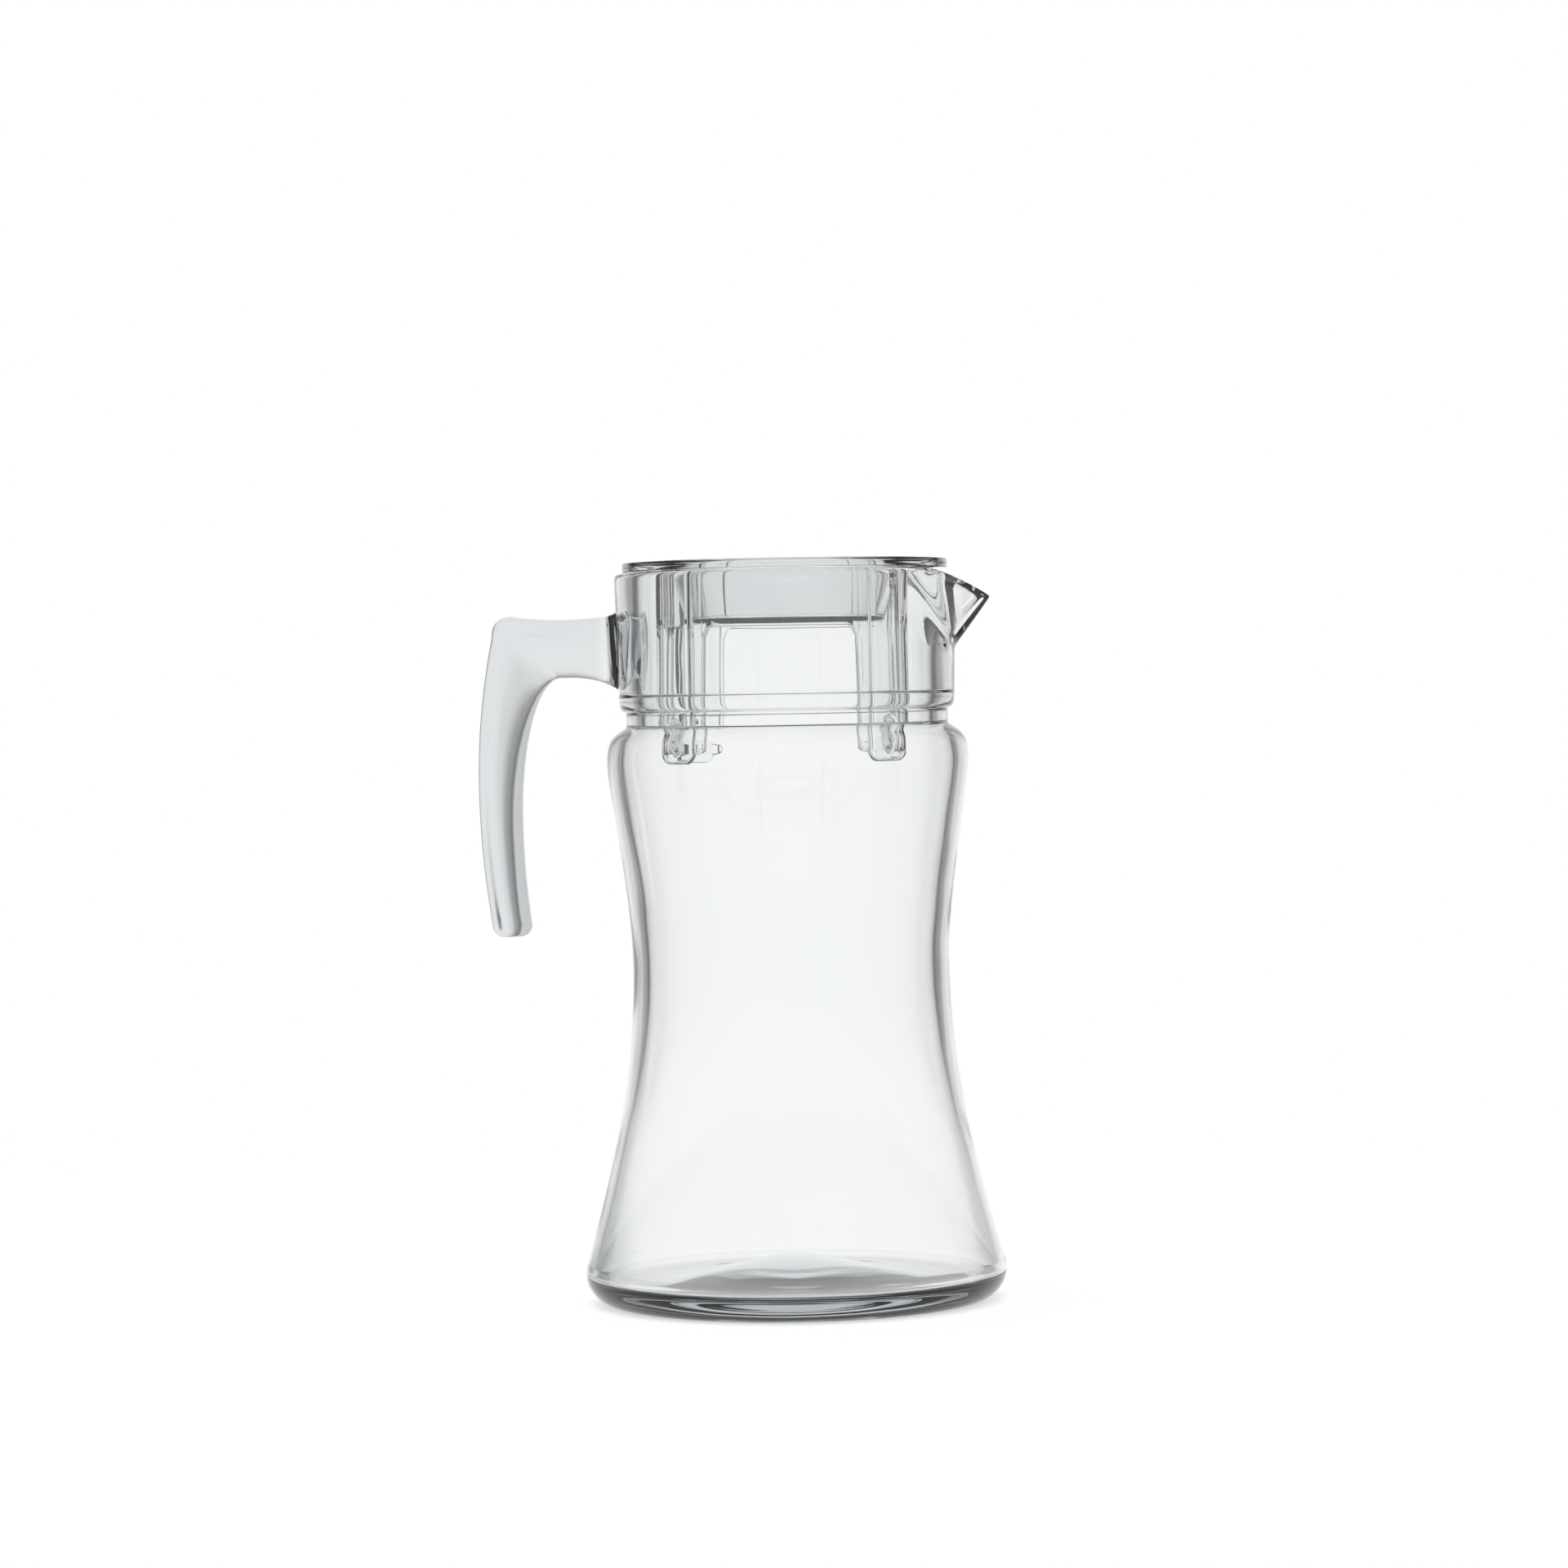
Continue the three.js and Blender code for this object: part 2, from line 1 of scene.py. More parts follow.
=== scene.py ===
# %% [markdown]
# # A glass jug with a clear lid
# The jug is pressed and blown glass: a thick base, a waist, a shoulder, a grooved neck and a collar that is
# pulled out to a pouring beak. A glass handle is stuck onto the collar while both are hot, and a clear
# plastic lid drops into the collar on four legs.
# This lesson builds the fine surfaces over a fixed frame. The frame has the same pieces as plain solids, in
# metres, so each surface goes exactly where its solid is and nothing has to be fitted by hand.

# %% Load the frame
import math

import bpy
import bmesh
import numpy as np
from mathutils import Matrix, Vector


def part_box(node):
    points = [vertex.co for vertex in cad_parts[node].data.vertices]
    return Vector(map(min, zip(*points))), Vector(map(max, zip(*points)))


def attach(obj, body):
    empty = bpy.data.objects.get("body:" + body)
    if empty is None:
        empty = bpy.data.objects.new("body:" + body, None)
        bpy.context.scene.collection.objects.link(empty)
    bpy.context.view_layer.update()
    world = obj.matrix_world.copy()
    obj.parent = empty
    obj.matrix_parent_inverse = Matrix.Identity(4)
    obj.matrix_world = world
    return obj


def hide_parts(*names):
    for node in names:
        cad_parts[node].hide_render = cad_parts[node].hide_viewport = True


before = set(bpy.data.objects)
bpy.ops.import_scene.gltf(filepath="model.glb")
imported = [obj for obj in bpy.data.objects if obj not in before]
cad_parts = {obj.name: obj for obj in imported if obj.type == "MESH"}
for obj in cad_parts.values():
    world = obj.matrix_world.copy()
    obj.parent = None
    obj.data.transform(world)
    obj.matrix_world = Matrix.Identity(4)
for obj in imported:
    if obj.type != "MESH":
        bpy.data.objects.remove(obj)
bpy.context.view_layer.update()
print("frame nodes:", sorted(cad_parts))

# %% [markdown]
# ## Sizes
# A maker thinks of a jug in millimetres, so the shapes below are worked out in millimetres and turned into
# metres once, when a mesh is made. Overall sizes are read from the frame's boxes. The sizes that a box can't
# tell, such as the glass thickness, are written where they are first needed.

# %% Read the sizes of the frame
MM = 0.001


def box_mm(node):
    """Lowest and highest corner of a frame node, in millimetres."""
    low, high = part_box(node)
    return np.array(low) / MM, np.array(high) / MM


jug_high = box_mm("jug_body")[1]
handle_low = box_mm("handle")[0]
cover_low, cover_high = box_mm("lid_cover")
cage_low, cage_high = box_mm("lid_cage")

RIM_HEIGHT = jug_high[2]
HEEL_RADIUS = jug_high[0]
COVER_RADIUS = cover_high[0]
COVER_TOP = cover_high[2]
BOWL_UNDERSIDE = cover_low[2]
SKIRT_RADIUS = cage_high[0]
CAGE_TOP = cage_high[2]
LEG_TIP = cage_low[2]
HANDLE_REACH = -handle_low[0]
HANDLE_END = handle_low[2]
print(f"rim {RIM_HEIGHT:.1f} mm high, heel {HEEL_RADIUS:.1f} mm, lid {COVER_RADIUS:.1f} mm")

# %% [markdown]
# ## Two helpers: curves and skins
# A smooth profile is a chain of Bezier curves. A Bezier curve blends a few control points with the Bernstein
# weights, so a whole curve is one array product. A skin is a grid of points that is closed one way round,
# with a fan of triangles over a pole at each end. Curve objects could draw the profiles too, but they bring
# handles to set by hand. Grids are quick, because numpy works out all points and all faces at once.

# %% Curve and skin helpers
def bezier(*points, steps):
    """Bernstein sum over k of C(n, k) t^k (1 - t)^(n - k) P_k, for t from 0 to 1."""
    t = np.linspace(0, 1, steps + 1)[:, None]
    degree = len(points) - 1
    weights = [math.comb(degree, k) * t**k * (1 - t) ** (degree - k) for k in range(degree + 1)]
    return sum(w * np.array(p, float) for w, p in zip(weights, points))


def arc(centre, radii, start, end, steps):
    """Points of an ellipse about a centre, from a start angle to an end angle in degrees."""
    a = np.radians(np.linspace(start, end, steps + 1))
    return np.array(centre) + np.stack([radii[0] * np.cos(a), radii[1] * np.sin(a)], axis=1)


def chain(*runs):
    """Runs of points end to end, each without the first point that it shares with the run before."""
    return np.concatenate([np.asarray(runs[0], float)] + [np.asarray(run, float)[1:] for run in runs[1:]])


def new_mesh(name, points, faces):
    """A mesh object at the origin: points in millimetres become vertices in metres, with smooth faces."""
    mesh = bpy.data.meshes.new(name)
    mesh.from_pydata((np.asarray(points) * MM).tolist(), [], faces)
    mesh.polygons.foreach_set("use_smooth", np.ones(len(mesh.polygons), bool))
    mesh.update()
    piece = bpy.data.objects.new(name, mesh)
    bpy.context.scene.collection.objects.link(piece)
    print(f"{name}: {len(mesh.vertices)} vertices, {len(mesh.polygons)} faces")
    return piece


def skin(name, rings, first_pole, last_pole):
    """Quads between neighbouring rings of a (ring, point, xyz) grid, and a fan from each end to its pole."""
    count, around = rings.shape[:2]
    ids = np.arange(count * around).reshape(count, around)
    turned = np.roll(ids, -1, axis=1)
    quads = np.stack([ids[:-1], turned[:-1], turned[1:], ids[1:]], axis=-1).reshape(-1, 4)
    first = count * around
    start_fan = np.stack([np.full(around, first), turned[0], ids[0]], axis=-1)
    end_fan = np.stack([np.full(around, first + 1), ids[-1], turned[-1]], axis=-1)
    points = np.concatenate([rings.reshape(-1, 3), [first_pole], [last_pole]])
    return new_mesh(name, points, quads.tolist() + start_fan.tolist() + end_fan.tolist())


def turn(profile, angles):
    """A grid of rings: every profile point (r, z) goes round the axis to (r cos a, r sin a, z)."""
    r, z = np.asarray(profile, float).T
    x = np.outer(r, np.cos(angles))
    y = np.outer(r, np.sin(angles))
    return np.stack([x, y, np.broadcast_to(z[:, None], x.shape)], axis=-1)


# %% [markdown]
# ## The jug's glass
# The glass is one wall with two faces, so one closed profile describes both: up the outside from the
# underside to the rim, and down the inside to the middle of the floor. A spin or a Screw modifier could turn
# it, but a formula leaves room for the beak, which is pulled out of the turned collar afterwards.
# Glass shows every kink as a dark line. So the runs meet in the same direction, and only the real edges,
# such as the ledge inside the collar, get a tight bend. The reaches of the waist and the shoulder say how far
# the curves' control points lie below and above them.

# %% Profile of the outside
POLE_RING = 2.0
HEEL_HEIGHT = 9.6
HEEL_ROUND = 9.6
HEEL_SLOPE = 0.286
HEEL_TURN = 1.3
HEEL_REACH = 27.0
WAIST = (49.3, 104.0)
WAIST_REACH = (35.0, 25.0)
SHOULDER = (56.3, 168.5)
SHOULDER_REACH = (10.0, 7.5)
SHOULDER_TOP = (50.7, 179.0)
SHOULDER_TOP_REACH = (3.2, 2.2)
NECK_RADIUS = 50.1
NECK_FOOT = 180.0
NECK_TOP = 183.2
NECK_EASE = (0.4, 0.15)
COLLAR_FOOT = (50.9, 184.3)
COLLAR_LOW = (52.3, 188.6)
COLLAR_EASE = (0.1, 0.3)
RIM_RADIUS = 53.1
RIM_ROUND = 2.0
UNDERSIDE_RISE = 1.4
UNDERSIDE_REACH = (0.6, 0.85)
STANDING_RING = 47.0


def outside_profile():
    """Underside, heel, wall, shoulder, neck groove, collar and the outer half of the rim, as (r, z)."""
    base = HEEL_RADIUS - HEEL_ROUND
    heel = (HEEL_RADIUS, HEEL_HEIGHT)
    heel_top = (HEEL_RADIUS - HEEL_SLOPE * HEEL_TURN, HEEL_HEIGHT + 2 * HEEL_TURN)
    neck_foot = (NECK_RADIUS, NECK_FOOT)
    neck_top = (NECK_RADIUS, NECK_TOP)
    collar_top = (RIM_RADIUS, RIM_HEIGHT - RIM_ROUND)
    return chain(
        bezier((POLE_RING, UNDERSIDE_RISE), (UNDERSIDE_REACH[0] * STANDING_RING, UNDERSIDE_RISE),
               (UNDERSIDE_REACH[1] * STANDING_RING, 0), (STANDING_RING, 0), steps=14),
        bezier((STANDING_RING, 0), (base, 0), steps=2),
        arc((base, HEEL_HEIGHT), (HEEL_ROUND, HEEL_HEIGHT), -90, 0, 20),
        bezier(heel, (HEEL_RADIUS, HEEL_HEIGHT + HEEL_TURN), heel_top, steps=6),
        bezier(heel_top, (heel_top[0] - HEEL_SLOPE * HEEL_REACH, heel_top[1] + HEEL_REACH),
               (WAIST[0], WAIST[1] - WAIST_REACH[0]), WAIST, steps=32),
        bezier(WAIST, (WAIST[0], WAIST[1] + WAIST_REACH[1]), (SHOULDER[0], SHOULDER[1] - SHOULDER_REACH[0]),
               SHOULDER, steps=24),
        bezier(SHOULDER, (SHOULDER[0], SHOULDER[1] + SHOULDER_REACH[1]),
               (SHOULDER_TOP[0] + SHOULDER_TOP_REACH[0], SHOULDER_TOP[1] - SHOULDER_TOP_REACH[1]),
               SHOULDER_TOP, steps=18),
        bezier(SHOULDER_TOP, (NECK_RADIUS, SHOULDER_TOP[1] + NECK_EASE[0]), neck_foot, steps=5),
        bezier(neck_foot, neck_top, steps=2),
        bezier(neck_top, (NECK_RADIUS, COLLAR_FOOT[1] - NECK_EASE[1]), COLLAR_FOOT, steps=6),
        bezier(COLLAR_FOOT, (COLLAR_LOW[0] - COLLAR_EASE[0], COLLAR_FOOT[1] + COLLAR_EASE[1]), COLLAR_LOW,
               steps=10),
        bezier(COLLAR_LOW, collar_top, steps=24),
        bezier(collar_top, (RIM_RADIUS, RIM_HEIGHT), (RIM_RADIUS - RIM_ROUND, RIM_HEIGHT), steps=7),
    )


outside = outside_profile()
print("outside profile:", len(outside), "points")

# %% [markdown]
# ## The inside of the wall
# Seen through, a wall is a lens. Where its two faces lean by different angles it works as a prism, turns the
# light away and shows a dark band. So the inside is the outside at the same height, moved in by the wall, and
# the wall grows slowly. The floor is thick, has a tight corner and rises to a dome in its middle, which draws
# the rings that are seen in the base. A Solidify modifier would give an even wall, and no such floor.

# %% Profile of the inside
RIM_BORE = 46.0
COLLAR_BORE = 45.3
THROAT_RADIUS = 44.6
LEDGE_TOP = 189.8
LEDGE_FOOT = 188.6
LOW_WALL = 2.8
HIGH_WALL = 5.0
WALL_GROWS = (40.0, 105.0)
NECK_WALL_GROWS = (168.0, 180.0)
FLOOR_THICKNESS = 7.0
FLOOR_CORNER = 3.0
FLOOR_EDGE = 54.5
FLOOR_DOME = 7.0
DOME_TOP = 12.0
DOME_LIFT = 0.2
CORNER_DROP = 0.6
CORNER_RUN = 8.0
CORNER_LIFT = 0.1
BORE_REACH = 24.0
LEDGE_EASE = 0.6


def smooth_step(z, low, high):
    """3 s^2 - 2 s^3, where s goes from 0 at the low height to 1 at the high one."""
    s = np.clip((z - low) / (high - low), 0, 1)
    return 3 * s**2 - 2 * s**3


def wall_inside(low, high):
    """The outside between two heights, from the top down, moved in by the wall. The wall is thin at the base
    and grows by one smooth step up to the waist and by another up to the neck."""
    r, z = outside[(outside[:, 1] >= low) & (outside[:, 1] <= high)][::-1].T
    wall = LOW_WALL + (HIGH_WALL - LOW_WALL) * smooth_step(z, *WALL_GROWS)
    wall += (NECK_RADIUS - THROAT_RADIUS - HIGH_WALL) * smooth_step(z, *NECK_WALL_GROWS)
    return np.stack([r - wall, z], axis=1)


def inside_profile():
    """Inner half of the rim, bore, ledge, throat, inner wall, floor corner and domed floor, as (r, z)."""
    bore_top = (RIM_BORE, RIM_HEIGHT - RIM_ROUND)
    ledge = (COLLAR_BORE, LEDGE_TOP)
    ledge_foot = (THROAT_RADIUS, LEDGE_FOOT)
    foot_height = FLOOR_THICKNESS + FLOOR_CORNER
    wall = wall_inside(foot_height, (NECK_FOOT + NECK_TOP) / 2)
    corner_drop = CORNER_DROP * FLOOR_CORNER
    floor_edge = (FLOOR_EDGE, FLOOR_THICKNESS)
    dome = FLOOR_THICKNESS + FLOOR_DOME
    return chain(
        [(RIM_RADIUS - RIM_ROUND, RIM_HEIGHT), (RIM_BORE + RIM_ROUND, RIM_HEIGHT)],
        bezier((RIM_BORE + RIM_ROUND, RIM_HEIGHT), (RIM_BORE, RIM_HEIGHT), bore_top, steps=7),
        bezier(bore_top, (COLLAR_BORE, RIM_HEIGHT - BORE_REACH), ledge, steps=20),
        bezier(ledge, (COLLAR_BORE, LEDGE_TOP - LEDGE_EASE), (THROAT_RADIUS, LEDGE_FOOT + LEDGE_EASE),
               ledge_foot, steps=8),
        bezier(ledge_foot, wall[0], steps=8),
        wall,
        bezier(wall[-1], (wall[-1, 0] + HEEL_SLOPE * corner_drop, foot_height - corner_drop),
               (FLOOR_EDGE + CORNER_RUN, FLOOR_THICKNESS + CORNER_LIFT), floor_edge, steps=20),
        bezier(floor_edge, (FLOOR_EDGE / 2, FLOOR_THICKNESS + DOME_LIFT), (DOME_TOP, dome), (POLE_RING, dome),
               steps=18),
    )


inside = inside_profile()
print("inside profile:", len(inside), "points")

# %% [markdown]
# ## The pouring beak
# The beak is drawn out of the soft collar with one stroke. Seen from the side it is a triangle: it starts at
# a point on the collar and gets wider and further out up to the rim, which slopes down to the tip. Sculpting
# or a lattice could pull it, but a formula that moves the turned points keeps its creases exact. Each point
# is pulled along the same slanting line, outwards and down, by a share that is 1 on the keel and falls to 0
# at the crease beside it. The inside is pulled a little less far, which leaves a thick lip.

# %% Pull the beak out of the collar
BEAK_TIP = 64.1
BEAK_FOOT = 203.0
BEAK_DROP = 8.6
BEAK_LIP = 3.2
BEAK_SPREAD = math.radians(23)
BEAK_SPREAD_INSIDE = math.radians(34)
BEAK_SPREAD_POWER = 0.57
LEAST_CLIMB = 1e-4
CREASE_ROUND = 0.16
CREASE_END = 3.0
KEEL_ROUND = 0.04
RIM_WALL = RIM_RADIUS - RIM_BORE


def pull_beak(rings):
    """With climb c from 0 at the foot to 1 at the rim and spread w c^p, the share at azimuth a is c times a
    rounded max(0, 1 - |a| / spread). The radius moves by share (tip - r) and the height by -share drop."""
    x, y, z = np.moveaxis(rings, -1, 0)
    r = np.hypot(x, y)
    azimuth = np.arctan2(y, x)
    climb = np.clip((z - BEAK_FOOT) / (RIM_HEIGHT - BEAK_FOOT), 0, 1)
    depth = np.clip((RIM_RADIUS - r) / RIM_WALL, 0, 1)
    widest = BEAK_SPREAD + depth * (BEAK_SPREAD_INSIDE - BEAK_SPREAD)
    spread = widest * np.maximum(climb, LEAST_CLIMB) ** BEAK_SPREAD_POWER
    away = np.sqrt((azimuth / spread) ** 2 + KEEL_ROUND**2) - KEEL_ROUND
    ramp = 1 - away
    share = (ramp + np.sqrt(ramp**2 + CREASE_ROUND**2)) / (1 + math.sqrt(1 + CREASE_ROUND**2))
    share = climb * share * (1 - np.clip((away - 1) / (CREASE_END - 1), 0, 1))
    new_r = r + share * (BEAK_TIP - depth * BEAK_LIP - r)
    new_z = z - share * BEAK_DROP
    return np.stack([new_r * np.cos(azimuth), new_r * np.sin(azimuth), new_z], axis=-1)


AROUND = 224
END_DENSITY = 0.45
even = np.linspace(-math.pi, math.pi, AROUND, endpoint=False)
jug_angles = even - END_DENSITY * np.sin(2 * even) / 2
jug_rings = pull_beak(turn(np.concatenate([outside, inside[1:]]), jug_angles))
jug_glass = skin("jug_glass", jug_rings, (0, 0, UNDERSIDE_RISE), (0, 0, FLOOR_THICKNESS + FLOOR_DOME))

# %% [markdown]
# ## The handle
# The handle is pressed glass: an arm leaves the collar with a flared root, turns down at an elbow, and a grip
# hangs free. In the side view its two edges are simple curves: parabolas on the outside, and a quarter of a
# tall ellipse in the inner elbow. A bevelled curve would need a radius at every point, so a section is
# carried along between the two edges instead, and the distance between them is its width. A pressed piece
# has to leave its mould, so the section is narrower on its inner side. Its slanting faces shade the grip.

# %% Edges of the handle in the side view
ARM_TOP = RIM_HEIGHT - 13.2
ARM_FOOT = ARM_TOP - 18.8
ARM_HUMP = 0.7
ELBOW_X = -HANDLE_REACH + 4.8
ELBOW_ROUND = 6.0
ELBOW_INNER_RUN = 12.6
ELBOW_INNER_DROP = 43.0
GRIP_BULGE = ARM_TOP - 51.0
GRIP_THICKNESS = 13.3
GRIP_END_INSET = 3.6
GRIP_END_THICKNESS = 12.0
GRIP_END_ROUND = 3.4
ROOT_X = -NECK_RADIUS
TOP_FLARE = (-58.5, 4.0)
TOP_BEND = 0.3
FOOT_FLARE = (-66.0, 5.6)
FOOT_BEND = 0.4
FOOT_SAG = 0.3


def handle_edges():
    """The outer and the inner edge, station by station, as (x, z)."""
    end_z = HANDLE_END + GRIP_END_ROUND
    hump = (ELBOW_X + ELBOW_ROUND, ARM_TOP + ARM_HUMP)
    arm_top = (TOP_FLARE[0], ARM_TOP)
    arm_foot = (FOOT_FLARE[0], ARM_FOOT)
    saddle = ((arm_top[0] + hump[0]) / 2, ARM_TOP - 2 * ARM_HUMP)
    elbow = (ELBOW_X, ARM_TOP - ELBOW_ROUND)
    bulge = (-HANDLE_REACH, GRIP_BULGE)
    end = (-HANDLE_REACH + GRIP_END_INSET, end_z)
    outer = chain(
        bezier((ROOT_X, ARM_TOP + TOP_FLARE[1]), (ROOT_X + TOP_BEND * (arm_top[0] - ROOT_X), ARM_TOP),
               arm_top, steps=18),
        bezier(arm_top, saddle, hump, steps=12),
        bezier(hump, (ELBOW_X, hump[1]), elbow, steps=14),
        bezier(elbow, (bulge[0], (elbow[1] + bulge[1]) / 2), bulge, steps=24),
        bezier(bulge, (bulge[0], (bulge[1] + end_z) / 2), end, steps=20),
    )
    inner_bulge = (-HANDLE_REACH + GRIP_THICKNESS, ARM_FOOT - ELBOW_INNER_DROP)
    bend_x = inner_bulge[0] + ELBOW_INNER_RUN
    inner_end = (end[0] + GRIP_END_THICKNESS, end_z)
    inner = chain(
        bezier((ROOT_X, ARM_FOOT - FOOT_FLARE[1]),
               (ROOT_X + FOOT_BEND * (arm_foot[0] - ROOT_X), ARM_FOOT - FOOT_SAG), arm_foot, steps=18),
        bezier(arm_foot, (bend_x, ARM_FOOT), steps=12),
        arc((bend_x, inner_bulge[1]), (ELBOW_INNER_RUN, ELBOW_INNER_DROP), 90, 180, 38),
        bezier(inner_bulge, (inner_bulge[0], (inner_bulge[1] + end_z) / 2), inner_end, steps=20),
    )
    return outer, inner


handle_outer, handle_inner = handle_edges()
print("handle stations:", len(handle_outer), len(handle_inner))

# %% Carry the handle's section along the edges
HANDLE_DEPTH = 17.0
OUTER_POWER = 5.0
INNER_POWER = 9.0
TAPER = 0.45
TAPER_START = -0.24
SECTION_POINTS = 104
END_STEPS = 9
FACE_FLARE = 4.0
FACE_FLARE_X = (-56.4, -51.6)
FACE_FLARE_MOST = 1.2


def handle_section():
    """A rounded oblong |u|^n + |v|^n = 1 in polar form. Its depth v shrinks by taper (s - start)^2, where s
    is the share of the way across from the outer edge, so the inner edge is narrower than the outer one. The
    angles start half a step off the mirror plane, because the collar has points of its own there."""
    angle = (np.arange(SECTION_POINTS) + 0.5) * 2 * math.pi / SECTION_POINTS
    power = np.where(np.cos(angle) > 0, OUTER_POWER, INNER_POWER)
    radius = (np.abs(np.cos(angle)) ** power + np.abs(np.sin(angle)) ** power) ** (-1 / power)
    u = radius * np.cos(angle)
    return u, radius * np.sin(angle) * (1 - TAPER * ((1 - u) / 2 - TAPER_START) ** 2)


def handle_rings():
    """The section between the two edges: u runs across from the inner edge to the outer one, v along Y. The
    faces flare by a squared share of the way to the collar, and the free end draws in by a quarter circle."""
    across = handle_outer - handle_inner
    middle = (handle_outer + handle_inner) / 2
    half = np.linalg.norm(across, axis=1) / 2
    along = across / (2 * half[:, None])
    depth = np.full(len(half), HANDLE_DEPTH / 2)
    turn_end = np.linspace(0, math.pi / 2, END_STEPS)[1:]
    inset = GRIP_END_ROUND * (1 - np.cos(turn_end))
    drop = np.stack([np.zeros_like(inset), -GRIP_END_ROUND * np.sin(turn_end)], axis=1)
    middle = np.concatenate([middle, middle[-1] + drop])
    along = np.concatenate([along, np.repeat(along[-1:], len(inset), axis=0)])
    half = np.concatenate([half, half[-1] - inset])
    depth = np.concatenate([depth, depth[-1] - inset])
    u, v = handle_section()
    x = middle[:, :1] + np.outer(half, u) * along[:, :1]
    z = middle[:, 1:] + np.outer(half, u) * along[:, 1:]
    near_root = (x - FACE_FLARE_X[0]) / (FACE_FLARE_X[1] - FACE_FLARE_X[0])
    near_root = np.clip(near_root, 0, FACE_FLARE_MOST)
    y = (depth[:, None] + FACE_FLARE * near_root**2) * v
    return np.stack([x, y, z], axis=-1)


rings = handle_rings()
handle_glass = skin("handle_glass", rings, rings[0].mean(axis=0), rings[-1].mean(axis=0))

# %% [markdown]
# ## One piece of glass
# On the real jug the handle melts into the collar, so no surface is left between them. Two glass meshes that
# overlap would each bend the light again. A Boolean union joins them into a single skin, and the result is
# kept as a plain mesh.

# %% Fuse the handle to the collar
SHARP_FROM = math.radians(40)


def face_out(piece):
    """Turns all faces of a closed mesh outwards."""
    work = bmesh.new()
    work.from_mesh(piece.data)
    bmesh.ops.recalc_face_normals(work, faces=work.faces)
    work.to_mesh(piece.data)
    work.free()


face_out(handle_glass)
fuse = jug_glass.modifiers.new("fuse", "BOOLEAN")
fuse.operation = "UNION"
fuse.solver = "EXACT"
fuse.object = handle_glass
fused = bpy.data.meshes.new_from_object(jug_glass.evaluated_get(bpy.context.evaluated_depsgraph_get()))
jug_glass.modifiers.clear()
jug_glass.data = fused
bpy.data.objects.remove(handle_glass)
fused.polygons.foreach_set("use_smooth", np.ones(len(fused.polygons), bool))
fused.set_sharp_from_angle(angle=SHARP_FROM)
print("fused glass:", len(fused.vertices), "vertices,", len(fused.polygons), "faces")

# %% [markdown]
# ## The lid's cover
# The lid is one clear moulding. Its upper part is turned: a disc that sits on the rim, with a bowl sunk in
# its middle that takes the fingertips. Cylinders and a Boolean would leave every edge sharp, and a bevel
# would round all of them alike. So one profile goes once round the wall, underside first, with a crisp outer
# edge, which shows as a thin line, and softer ones in the bowl.

# %% Turn the cover
COVER_THICKNESS = 2.8
COVER_EDGE = 0.3
LID_WALL = 1.8
BOWL_MOUTH = 34.6
BOWL_FOOT = 30.0
BOWL_ROUND = 1.5
BOWL_LIP = 1.2
BOWL_LEAN = 0.2
SEAT_ROUND = 1.0


def cover_profile():
    """Bowl underside, bowl wall, disc underside, disc edge, disc top, inner bowl wall and bowl floor."""
    seat = COVER_TOP - COVER_THICKNESS
    floor = BOWL_UNDERSIDE + LID_WALL
    mouth_in = BOWL_MOUTH - LID_WALL
    foot_in = BOWL_FOOT - LID_WALL
    edge_low = (COVER_RADIUS, seat + COVER_EDGE)
    edge_high = (COVER_RADIUS, COVER_TOP - COVER_EDGE)
    wall_foot = (BOWL_FOOT + BOWL_LEAN, BOWL_UNDERSIDE + BOWL_ROUND)
    wall_top = (BOWL_MOUTH - BOWL_LEAN, seat - SEAT_ROUND)
    lip = (mouth_in - BOWL_LEAN, COVER_TOP - BOWL_LIP)
    basin = (foot_in + BOWL_LEAN, floor + BOWL_ROUND)
    return chain(
        bezier((POLE_RING, BOWL_UNDERSIDE), (BOWL_FOOT - BOWL_ROUND, BOWL_UNDERSIDE), steps=6),
        bezier((BOWL_FOOT - BOWL_ROUND, BOWL_UNDERSIDE), (BOWL_FOOT, BOWL_UNDERSIDE), wall_foot, steps=8),
        bezier(wall_foot, wall_top, steps=8),
        bezier(wall_top, (BOWL_MOUTH, seat), (BOWL_MOUTH + SEAT_ROUND, seat), steps=6),
        bezier((BOWL_MOUTH + SEAT_ROUND, seat), (COVER_RADIUS - COVER_EDGE, seat), steps=6),
        bezier((COVER_RADIUS - COVER_EDGE, seat), (COVER_RADIUS, seat), edge_low, steps=6),
        bezier(edge_low, edge_high, steps=2),
        bezier(edge_high, (COVER_RADIUS, COVER_TOP), (COVER_RADIUS - COVER_EDGE, COVER_TOP), steps=6),
        bezier((COVER_RADIUS - COVER_EDGE, COVER_TOP), (mouth_in + BOWL_LIP, COVER_TOP), steps=6),
        bezier((mouth_in + BOWL_LIP, COVER_TOP), (mouth_in, COVER_TOP), lip, steps=6),
        bezier(lip, basin, steps=8),
        bezier(basin, (foot_in, floor), (foot_in - BOWL_ROUND, floor), steps=8),
        bezier((foot_in - BOWL_ROUND, floor), (POLE_RING, floor), steps=6),
    )


LID_AROUND = 192
lid_angles = np.linspace(0, 2 * math.pi, LID_AROUND, endpoint=False)
cover_rings = turn(cover_profile(), lid_angles)
bowl_floor = BOWL_UNDERSIDE + LID_WALL
lid_cover_skin = skin("lid_cover_skin", cover_rings, (0, 0, BOWL_UNDERSIDE), (0, 0, bowl_floor))

